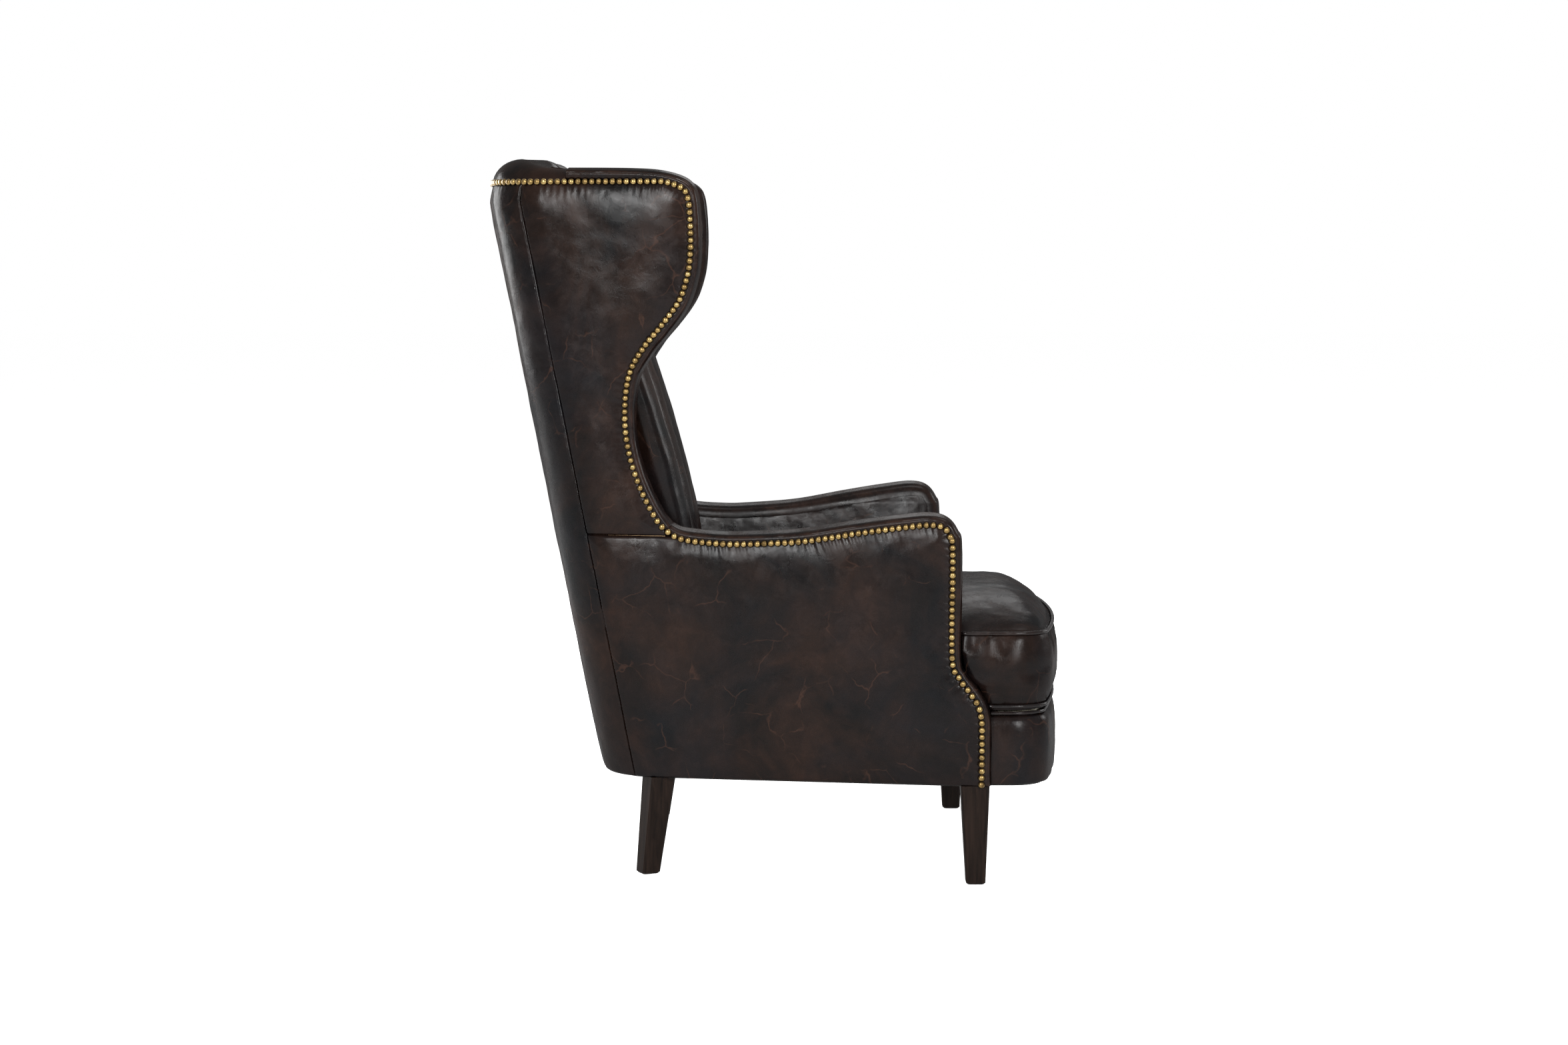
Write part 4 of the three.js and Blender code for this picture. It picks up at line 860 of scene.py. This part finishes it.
def seat_cushion():
    """The crowned cushion cover, its border drawn in at both welts."""
    foot = (0.9, 0.7, 0.5, 0.3, 0.15, 0.06)
    rings = [drawn_ring(CUSHION_BOTTOM, FOOT_INSET, share) for share in foot]
    rings.append(drawn_ring(CUSHION_BOTTOM + 2, FOOT_INSET - 2))
    rings.append(drawn_ring(SEAM_LOW - 1, SEAM_INSET))
    for k in np.linspace(0, 1, BORDER_ROWS):
        height = SEAM_LOW + 1 + (SEAM_TOP - SEAM_LOW - 2) * k
        rings.append(drawn_ring(height, SEAM_INSET - BORDER_BULGE * math.sin(math.pi * k) ** 0.6))
    rings.append(drawn_ring(SEAM_TOP + 1, TOP_INSET))
    for share in np.concatenate([np.linspace(0.01, 0.2, 11), np.linspace(0.23, 0.9, 22)]):
        ring = drawn_ring(SEAM_TOP, TOP_INSET, share)
        ring[:, 2] += (CUSHION_TOP - SEAM_TOP) * math.sin(math.pi / 2 * share**0.62)
        rings.append(ring)
    points = np.vstack(rings)
    moved = points + np.column_stack([wrinkle(points, *waves) for waves in CUSHION_WAVES])
    points = np.where(on_seam(points[:, 2])[:, None], points, moved)
    faces = capped_faces(len(rings), CUSHION_COLUMNS)
    piece = mesh_object("seat_cushion_leather", points, faces, "seat_cushion")
    seams = [vertex.index for vertex in piece.data.vertices if on_seam(vertex.co.z / MM)]
    settle(piece, seams, growth=0.028, pressure=3.0, furthest=6)
    keep_above(piece, "seat_cushion_core", SEAM_TOP + CORE_COVER)
    return piece


def keep_above(piece, inner, lowest):
    """Lift the top of a cover where it would sink into the foam under it."""
    foam = bpy.data.objects[inner]
    bpy.context.view_layer.update()
    corners = [foam.matrix_world @ vertex.co for vertex in foam.data.vertices]
    tree = BVHTree.FromPolygons(corners, [tuple(face.vertices) for face in foam.data.polygons])
    for vertex in piece.data.vertices:
        if vertex.co.z < lowest * MM:
            continue
        hit = tree.ray_cast(Vector((vertex.co.x, vertex.co.y, 1)), Vector((0, 0, -1)))[0]
        if hit is not None:
            vertex.co.z = max(vertex.co.z, hit.z + CORE_COVER * MM)
    piece.data.update()


def settle(piece, held, growth, pressure, furthest, frames=20):
    """A cloth run: the hide is cut a little too large, so it swells and gathers between its seams."""
    piece.vertex_groups.new(name="seams").add(held, 1.0, "REPLACE")
    settings = piece.modifiers.new("cloth", "CLOTH").settings
    hide = {
        "quality": 5,
        "mass": 0.3,
        "tension_stiffness": 15,
        "compression_stiffness": 15,
        "shear_stiffness": 5,
        "bending_stiffness": 0.5,
        "use_pressure": True,
        "uniform_pressure_force": pressure,
        "shrink_min": -growth,
        "vertex_group_mass": "seams",
    }
    for key, value in hide.items():
        setattr(settings, key, value)
    settings.effector_weights.gravity = 0
    scene = bpy.context.scene
    for step in range(1, frames + 1):
        scene.frame_set(step)
    graph = bpy.context.evaluated_depsgraph_get()
    before = vertex_places(piece.data)
    moves = vertex_places(piece.evaluated_get(graph).to_mesh()) - before
    piece.evaluated_get(graph).to_mesh_clear()
    lengths = np.linalg.norm(moves, axis=1)
    moves *= np.minimum(1, furthest * MM / np.maximum(lengths, 1e-9))[:, None]
    piece.modifiers.clear()
    piece.vertex_groups.clear()
    piece.data.vertices.foreach_set("co", (before + moves).ravel())
    piece.data.update()
    scene.frame_set(1)


def welt(name, line, closed, body="chair"):
    """A leather cord along a line of places in space."""
    count = len(line)
    before = np.roll(line, 1, 0) if closed else np.vstack([line[:1], line[:-1]])
    after = np.roll(line, -1, 0) if closed else np.vstack([line[1:], line[-1:]])
    along = after - before
    along /= np.linalg.norm(along, axis=1)[:, None]
    side = np.cross(along, [0, 0, 1])
    side /= np.linalg.norm(side, axis=1)[:, None]
    up = np.cross(side, along)
    points = []
    for i in range(count):
        radius = WELT_RADIUS * (1 + 0.05 * math.sin(i * 1.9) + 0.04 * math.sin(i * 0.73))
        for k in range(WELT_SIDES):
            angle = 2 * math.pi * k / WELT_SIDES
            points.append(line[i] + radius * (side[i] * math.cos(angle) + up[i] * math.sin(angle)))
    faces = loft_faces(count, WELT_SIDES, loop=True) if closed else capped_faces(count, WELT_SIDES)
    return mesh_object(name, np.array(points), faces, body)


def cushion_welt(name, height):
    """A welt round the cushion, set out a little so that it shows beside the plump cover."""
    ring = cushion_ring(height, WELT_RADIUS - 1)[:, :2]
    fine = even_line(np.vstack([ring, ring[:1]]), 5)[:-1]
    return welt(name, at_height(fine, height), True, "seat_cushion")


def border_welt():
    """The welt on top of the border, along its upper seam."""
    fine = even_line(nose_line(6 + WELT_RADIUS, TOE_FRONT - GAP), 6)
    return welt("front_border_cord", at_height(fine, BORDER_TOP + GAP + WELT_RADIUS), False)


def deck_ring(inset):
    """Outline of the seat deck moved in by an inset, with where in y it draws in to."""
    fit = ARM_THICKNESS + GAP
    rear = DECK_REAR - inset
    toe = TOE_FRONT - GAP - inset
    toe_middle = toe - DECK_DRAW
    corner_x = side_x(rear, DECK_BOTTOM, fit) - inset
    toe_x = side_x(toe, DECK_BOTTOM, fit) - inset
    rows = [(x, rear, DECK_MIDDLE) for x in np.linspace(0, corner_x, 14)]
    for k in np.linspace(0, 1, 24)[1:]:
        target = DECK_MIDDLE + (toe_middle - DECK_MIDDLE) * k
        rows.append((corner_x + (toe_x - corner_x) * k, rear + (toe - rear) * k, target))
    rows.append((EAR_HALF_WIDTH - BORDER_THICKNESS - GAP - inset, toe, toe_middle))
    rows += [(x, y, DECK_NOSE_MIDDLE) for x, y in nose_half(BORDER_THICKNESS + GAP + inset)]
    return both_sides(np.array(rows))


def seat_deck():
    """The covered deck under the cushion, rolled over at its edges and dented a little."""
    foot = deck_ring(DECK_FOOT_INSET)
    rings = [even_ring(foot, DECK_COLUMNS, DECK_BOTTOM, share) for share in (0.9, 0.6, 0.3, 0.05)]
    rings += [even_ring(deck_ring(inset), DECK_COLUMNS, height) for inset, height in DECK_ROLL]
    top = deck_ring(DECK_ROLL[-1][0])
    rings += [even_ring(top, DECK_COLUMNS, DECK_TOP, share) for share in np.linspace(0.03, 0.92, 18)]
    points = np.vstack(rings)
    points[:, 2] -= np.where(points[:, 2] > DECK_TOP - 1.4, np.abs(wrinkle(points, *DECK_DENTS)), 0)
    return mesh_object("seat_deck_cover", points, capped_faces(len(rings), DECK_COLUMNS))


# Inside back

def face_at(height):
    """Where in y the face of the inside back stands at a height."""
    ups, backs = zip(*FACE_SHARES)
    share = (height - CUSHION_BOTTOM) / (CREST_HEIGHT - CUSHION_BOTTOM)
    near = [np.interp(share + offset, ups, backs) for offset in (-0.02, -0.01, 0, 0.01, 0.02)]
    return FACE_FOOT + (BACK_REACH - FACE_FOOT) * float(np.mean(near))


def face_row(edge_x, face, channel, dish):
    """Points across the face from one side to the other, with round channels between creases."""
    across = np.linspace(1, -1, CHANNELS * CHANNEL_COLUMNS + 1)
    swell = np.sqrt(np.abs(np.sin(math.pi * CHANNELS * (across + 1) / 2)))
    return edge_x * across, face + dish * across**2 + channel * (1 - swell)


def back_row(height):
    """One row of the inside back: along one wall, over the channels and back along the other wall."""
    side = thickness_at(height) + GAP
    edge_y = face_at(height) + BACK_DISH + CHANNEL_DEPTH
    edge_x = side_x(edge_y, height, side)
    x, y = face_row(edge_x, face_at(height), CHANNEL_DEPTH, BACK_DISH)
    face = at_height(np.column_stack([x, y]), height)
    runs = np.linspace(PAD_REAR, run_at(edge_y, height), SIDE_COLUMNS + 1)[:-1]
    wall = wall_points(runs, height, side)
    return np.vstack([wall, face, wall[::-1] * [-1, 1, 1]])


def crest_rows():
    """Rows of the crest: up its front, over its top and down its rear."""
    low = BACK_TOP + GAP
    end = run_at(BAND_END, WING_TOP) - GAP
    side = WING_THICKNESS + GAP
    edge_x = side_x(face_at(BACK_TOP) + BACK_DISH + CHANNEL_DEPTH, BACK_TOP, side)

    def height_at(run, turn):
        share = np.clip((np.abs(run) - BACK_RUN) / (end - BACK_RUN), 0, 1)
        top = CREST_HEIGHT + (WING_TOP - CREST_HEIGHT) * share * share * (3 - 2 * share)
        return low + (top - low) * np.sin(turn)

    turns = np.linspace(0, math.pi / 2, CREST_STEPS + 1)
    fronts = []
    for turn in turns:
        roll = 1 - math.cos(turn)
        dish = BACK_DISH - (CREST_FRONT - CREST_EDGE_ROLL) * roll
        face = face_at(BACK_TOP) + CREST_FRONT * roll
        x, y = face_row(edge_x, face, CHANNEL_DEPTH * math.cos(turn), dish)
        front = np.column_stack([x, y, height_at(x / edge_x * end, turn)])
        corner = wall_points(end, height_at(end, turn), side)
        shares = np.linspace(0, 1, SIDE_COLUMNS + 1)[:-1, None]
        wall = corner + (front[0] - corner) * shares
        fronts.append(np.vstack([wall, front, wall[::-1] * [-1, 1, 1]]))
    runs = np.linspace(end, -end, len(fronts[0]))
    rears = []
    for turn in turns[::-1]:
        rears.append(wall_points(runs, height_at(runs, turn), CREST_REAR * (1 - math.cos(turn))))
    return fronts, rears


def inside_back():
    """The channelled inside back, its hide thickened inwards."""
    heights = np.linspace(CUSHION_BOTTOM, BACK_TOP, BACK_ROWS)
    fronts, rears = crest_rows()
    rows = [back_row(height) for height in heights] + fronts + rears
    count = len(rows[0])
    points = np.vstack(rows)
    points[:, 1] -= wrinkle(points, *BACK_WAVES)
    faces = loft_faces(len(rows), count, closed_ring=False)
    first = len(heights)
    last = len(rows) - 1
    for step in range(CREST_STEPS):
        for side in (0, count - 1):
            corners = (first + step, first + step + 1, last - step - 1, last - step)
            faces.append(tuple(row * count + side for row in corners))
    piece = mesh_object("inside_back_leather", points, faces)
    shell = piece.modifiers.new("thickness", "SOLIDIFY")
    shell.thickness = BACK_HIDE * MM
    shell.offset = -1
    apply_modifiers(piece)
    return piece


# Finishes

def new_material(name):
    material = bpy.data.materials.new(name)
    material.use_nodes = True
    tree = material.node_tree
    shader = tree.nodes["Principled BSDF"]
    return material, tree, shader


def set_values(node, **inputs):
    """Plain values of a node's inputs, with _ for each space in a name."""
    for key, value in inputs.items():
        node.inputs[key.replace("_", " ")].default_value = value


def feed(tree, node, **sources):
    """Links into a node's inputs, with _ for each space in a name."""
    for key, source in sources.items():
        tree.links.new(source, node.inputs[key.replace("_", " ")])


def add_node(tree, kind, settings=None, **inputs):
    node = tree.nodes.new(kind)
    for key, value in (settings or {}).items():
        setattr(node, key, value)
    set_values(node, **inputs)
    return node


def object_places(tree, scale=(1, 1, 1), shift=(0, 0, 0), turn=(0, 0, 0)):
    coordinates = add_node(tree, "ShaderNodeTexCoord")
    mapping = add_node(tree, "ShaderNodeMapping", None, Scale=scale, Location=shift, Rotation=turn)
    feed(tree, mapping, Vector=coordinates.outputs["Object"])
    return mapping.outputs["Vector"]


def noise_on(tree, places, scale, detail=4, roughness=0.6, distortion=0, output="Fac"):
    values = {"Scale": scale, "Detail": detail, "Roughness": roughness, "Distortion": distortion}
    texture = add_node(tree, "ShaderNodeTexNoise", None, **values)
    feed(tree, texture, Vector=places)
    return texture.outputs[output]


def cell_edges(tree, places, scale):
    """Distance to the edges of random cells."""
    cells = add_node(tree, "ShaderNodeTexVoronoi", {"feature": "DISTANCE_TO_EDGE"}, Scale=scale)
    feed(tree, cells, Vector=places)
    return cells.outputs["Distance"]


def ramp(tree, source, stops):
    """A colour or value ramp from places and colours."""
    node = add_node(tree, "ShaderNodeValToRGB")
    elements = node.color_ramp.elements
    elements[0].position, elements[0].color = stops[0][0], colour(stops[0][1])
    elements[1].position, elements[1].color = stops[-1][0], colour(stops[-1][1])
    for place, value in stops[1:-1]:
        element = elements.new(place)
        element.color = colour(value)
    tree.links.new(source, node.inputs["Fac"])
    return node.outputs["Color"]


def colour(value):
    if isinstance(value, (int, float)):
        return (value, value, value, 1)
    return (*value, 1)


def mix(tree, kind, a, b, factor):
    """Two colours mixed; each input is a socket or a plain colour."""
    node = add_node(tree, "ShaderNodeMix", {"data_type": "RGBA", "blend_type": kind})
    for value, item in ((factor, node.inputs[0]), (a, node.inputs[6]), (b, node.inputs[7])):
        if hasattr(value, "links"):
            tree.links.new(value, item)
        elif isinstance(value, tuple):
            item.default_value = (*value, 1)
        else:
            item.default_value = value
    return node.outputs[2]


def multiply(tree, a, b):
    return mix(tree, "MULTIPLY", a, b, 1.0)


def bump_over(tree, height, strength, distance, under=None):
    """A bump over the surface that another bump gives."""
    node = add_node(tree, "ShaderNodeBump", None, Strength=strength, Distance=distance)
    feed(tree, node, Height=height)
    if under is not None:
        feed(tree, node, Normal=under)
    return node.outputs["Normal"]


def leather_finish(name, tones, roughness, gloss):
    """Waxed leather, worn along the band's creases where a highlight is also painted: near black, with
    brown and grey patches, creases, scratches and grain.
    """
    dark, brown, grey = tones
    material, tree, shader = new_material(name)
    places = object_places(tree)
    shifted = object_places(tree, shift=(3, 7, 5))
    clouds = noise_on(tree, places, 6.5, 6, 0.62, 0.8)
    patches = noise_on(tree, shifted, 4.5, 5, 0.6, 0.5)
    smudges = noise_on(tree, places, 30, 6, 0.7, 0.5)
    base = ramp(tree, clouds, [(0.34, dark), (0.68, brown)])
    base = mix(tree, "MIX", base, grey, ramp(tree, patches, [(0.42, 0.0), (0.72, 0.8)]))
    tone = mix(tree, "MULTIPLY", base, ramp(tree, smudges, [(0.34, 0.5), (0.66, 1.4)]), 0.55)

    wandering = noise_on(tree, places, 9.0, 4.0, 0.5, output="Color")
    warped = mix(tree, "LINEAR_LIGHT", places, wandering, 0.05)
    crease = ramp(tree, cell_edges(tree, warped, 15.0), [(0.0, 1.0), (0.022, 0.0)])
    creased = ramp(tree, noise_on(tree, shifted, 14, 3), [(0.52, 0.0), (0.62, 1.0)])
    stretched = object_places(tree, (45, 45, 420), turn=(0.5, 0.35, 0))
    scratch = ramp(tree, noise_on(tree, stretched, 1.0, 3, 0.7, 1.0), [(0.68, 0.0), (0.74, 1.0)])
    scratched = ramp(tree, smudges, [(0.5, 0.0), (0.64, 0.6)])
    marks = mix(
        tree, "LIGHTEN", multiply(tree, crease, creased), multiply(tree, scratch, scratched), 1.0
    )
    faint = multiply(tree, marks, (0.4, 0.4, 0.4))
    tone = mix(tree, "MIX", tone, tuple(3.2 * c for c in brown), faint)

    # Lighter brown along the band's creases, from the stored attribute: partly worn leather, partly a
    # painted highlight of the creases.
    worn = add_node(tree, "ShaderNodeAttribute", {"attribute_name": "wear"})
    rubbed_and_painted_highlight = multiply(tree, worn.outputs["Color"], ramp(tree, smudges, [(0.4, 0.1), (0.62, 0.9)]))
    tone = mix(tree, "MIX", tone, tuple(1.9 * c for c in brown), rubbed_and_painted_highlight)

    grain = ramp(tree, cell_edges(tree, places, 620.0), [(0.0, 0.0), (0.2, 1.0)])
    surface = bump_over(tree, grain, 0.1, 0.0003)
    surface = bump_over(tree, marks, -0.25, 0.0008, surface)
    surface = bump_over(tree, noise_on(tree, places, 55, 4, 0.55, 1.2), 0.12, 0.002, surface)
    surface = bump_over(tree, noise_on(tree, places, 11, 2, 0.5, 0.6), 0.16, 0.01, surface)
    wax = ramp(tree, smudges, [(0.34, roughness[0]), (0.66, roughness[1])])
    feed(tree, shader, Base_Color=tone, Coat_Roughness=wax, Normal=surface, Coat_Normal=surface)
    set_values(shader, Roughness=0.5, Specular_IOR_Level=0, Coat_Weight=gloss, Coat_IOR=WAX_IOR)
    return material


def wood_finish(name, tones, roughness):
    """Straight-grained wood, its figure running up the piece."""
    material, tree, shader = new_material(name)
    figure = noise_on(tree, object_places(tree, (40, 40, 3)), 3, 6, 0.6, 0.8)
    pores = noise_on(tree, object_places(tree, (300, 300, 14)), 2, 3, 0.6)
    feed(
        tree,
        shader,
        Base_Color=ramp(tree, figure, [(0.3, tones[0]), (0.7, tones[1])]),
        Roughness=ramp(tree, pores, [(0.3, roughness + 0.1), (0.7, roughness - 0.05)]),
        Normal=bump_over(tree, pores, 0.15, 0.0006),
    )
    set_values(shader, Specular_IOR_Level=0, Coat_Weight=0.1, Coat_Roughness=0.25)
    return material


def metal_finish(name, scale, stops, roughness):
    """Spotted metal: a scale for its spots, stops for its tones and its roughest and smoothest."""
    material, tree, shader = new_material(name)
    spots = noise_on(tree, object_places(tree), scale, 4, 0.6)
    worn = ramp(tree, spots, [(0.3, roughness[0]), (0.7, roughness[1])])
    feed(tree, shader, Base_Color=ramp(tree, spots, stops), Roughness=worn)
    set_values(shader, Metallic=1)
    return material


def cloth_finish(name, tones, threads=900):
    """Plain weave of two crossing sets of threads."""
    material, tree, shader = new_material(name)
    places = object_places(tree)
    weave = []
    for axis in ("X", "Y"):
        settings = {"bands_direction": axis}
        wave = add_node(tree, "ShaderNodeTexWave", settings, Scale=threads / 6.3, Distortion=0.3)
        feed(tree, wave, Vector=places)
        weave.append(wave.outputs["Fac"])
    crossed = multiply(tree, *weave)
    woven = ramp(tree, crossed, [(0.1, tones[0]), (0.7, tones[1])])
    feed(tree, shader, Base_Color=woven, Normal=bump_over(tree, crossed, 0.3, 0.0004))
    set_values(shader, Roughness=0.9)
    return material


FINISHES = {
    "leather": leather_finish("waxed_leather", HIDE_TONES, (0.15, 0.36), 0.088),
    "welt_leather": leather_finish("welt_leather", WELT_TONES, (0.16, 0.26), 0.16),
    "leg_wood": wood_finish("leg_wood", LEG_TONES, 0.34),
    "frame_wood": wood_finish("frame_wood", FRAME_TONES, 0.6),
    "brass": metal_finish("antique_brass", 70, list(zip((0.3, 0.5, 0.75), BRASS_TONES)), (0.4, 0.22)),
    "cloth": cloth_finish("jute_cloth", JUTE_TONES),
    "foam": cloth_finish("wadding", WADDING_TONES, 500),
    "black_cloth": cloth_finish("dust_cloth", DUST_TONES),
    "steel": metal_finish("spring_steel", 90, list(zip((0.3, 0.7), STEEL_TONES)), (0.45, 0.3)),
}


def finish_piece(piece, slot_name, nodes):
    """A piece's material, its slot and the nodes it stands for."""
    piece.data.materials.clear()
    piece.data.materials.append(FINISHES[slot_name])
    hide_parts(*nodes)


def finish_pair(piece, node):
    """A piece of the sitter's left wall, and its mirror image on the right."""
    twin = mirror_object(piece, f"{piece.name}_right")
    piece.name = f"{piece.name}_left"
    finish_piece(piece, "leather", [f"{node}_left"])
    finish_piece(twin, "leather", [f"{node}_right"])


def finish_frame_nodes():
    for part in frame["record"]["subparts"]:
        node = frame["nodes"][part["node"]]
        node.data.materials.clear()
        node.data.materials.append(FINISHES[part["material_slot"]])


finish_frame_nodes()

# Outer leather, pads and bands
panels = outer_panels()
finish_piece(back_panel(), "leather", ["outer_back_panel"])
for piece, node in panels:
    finish_pair(piece, node)
for piece, node in inner_pads():
    finish_pair(piece, node)
finish_pair(edge_band("wing_band_leather", 0, mitre_index, 11), "wing_band")
finish_pair(edge_band("arm_band_leather", mitre_index, len(edge_line) - 1, 12), "arm_band")

nailheads(FINISHES["brass"])

# Seat
finish_piece(front_border(), "leather", ["front_border"])
finish_piece(border_welt(), "welt_leather", ["front_border_welt"])
finish_piece(seat_deck(), "foam", ["deck_pad"])
finish_piece(seat_cushion(), "leather", ["seat_cushion_cover"])
for place, height in (("top", SEAM_TOP), ("bottom", SEAM_LOW)):
    cord = cushion_welt(f"seat_cushion_cord_{place}", height)
    finish_piece(cord, "welt_leather", [f"seat_cushion_welt_{place}"])

# Inside back
finish_piece(inside_back(), "leather", ["inside_back"])


# Floor, light and camera

def seen_directly(tree):
    """1 for what the camera, a gloss or a glass shows, and 0 for light on the chair."""
    path = add_node(tree, "ShaderNodeLightPath")
    total = path.outputs["Is Camera Ray"]
    for kind in ("Is Glossy Ray", "Is Transmission Ray"):
        node = add_node(tree, "ShaderNodeMath", {"operation": "MAXIMUM"})
        tree.links.new(total, node.inputs[0])
        tree.links.new(path.outputs[kind], node.inputs[1])
        total = node.outputs[0]
    return total


def add_floor():
    """A pale floor that looks white and still takes the chair's shadow."""
    bpy.ops.mesh.primitive_plane_add(size=60)
    floor = bpy.context.object
    floor.name = "studio_floor"
    material, tree, shader = new_material("studio_floor")
    set_values(shader, Base_Color=(0.82, 0.82, 0.82, 1), Roughness=0.8, Specular_IOR_Level=0)
    set_values(shader, Emission_Color=(1, 1, 1, 1))
    level = add_node(tree, "ShaderNodeMath", {"operation": "MULTIPLY"})
    level.inputs[1].default_value = FLOOR_GLOW
    tree.links.new(seen_directly(tree), level.inputs[0])
    feed(tree, shader, Emission_Strength=level.outputs[0])
    floor.data.materials.append(material)


def add_lamp(name, place, target, size, power):
    data = bpy.data.lights.new(name, "AREA")
    data.shape = "RECTANGLE"
    data.size, data.size_y = size
    data.energy = power
    lamp = new_object(name, data)
    lamp.location = place
    lamp.rotation_euler = (Vector(target) - Vector(place)).to_track_quat("-Z", "Y").to_euler()


def add_world():
    """A white backdrop to look at, and a softer level for the light that it gives."""
    world = bpy.data.worlds.new("studio")
    bpy.context.scene.world = world
    world.use_nodes = True
    tree = world.node_tree
    background = tree.nodes["Background"]
    level = add_node(tree, "ShaderNodeMapRange", None, To_Min=WORLD_LIGHT, To_Max=1)
    feed(tree, level, Value=seen_directly(tree))
    feed(tree, background, Strength=level.outputs["Result"])
    set_values(background, Color=(1, 1, 1, 1))


def add_camera():
    """The photograph's camera: level with the wing's top, a little over 5 m from the chair's side."""
    data = bpy.data.cameras.new("camera")
    data.sensor_width = 36
    data.lens = FOCAL_PIXELS / FRAME_WIDTH * data.sensor_width
    camera = new_object("camera", data)
    pitch = math.atan(AIM_BELOW_HORIZON / FOCAL_PIXELS)
    yaw = math.atan(AIM_FRONT / FOCAL_PIXELS)
    direction = Vector((math.cos(pitch) * math.cos(yaw), -math.sin(yaw), -math.sin(pitch)))
    camera.location = CAMERA_PLACE
    camera.rotation_euler = direction.to_track_quat("-Z", "Y").to_euler()
    bpy.context.scene.camera = camera


add_floor()
add_world()
for lamp_name, setting in LAMPS.items():
    add_lamp(lamp_name, *setting)
add_camera()
bpy.context.scene.view_settings.view_transform = "Standard"
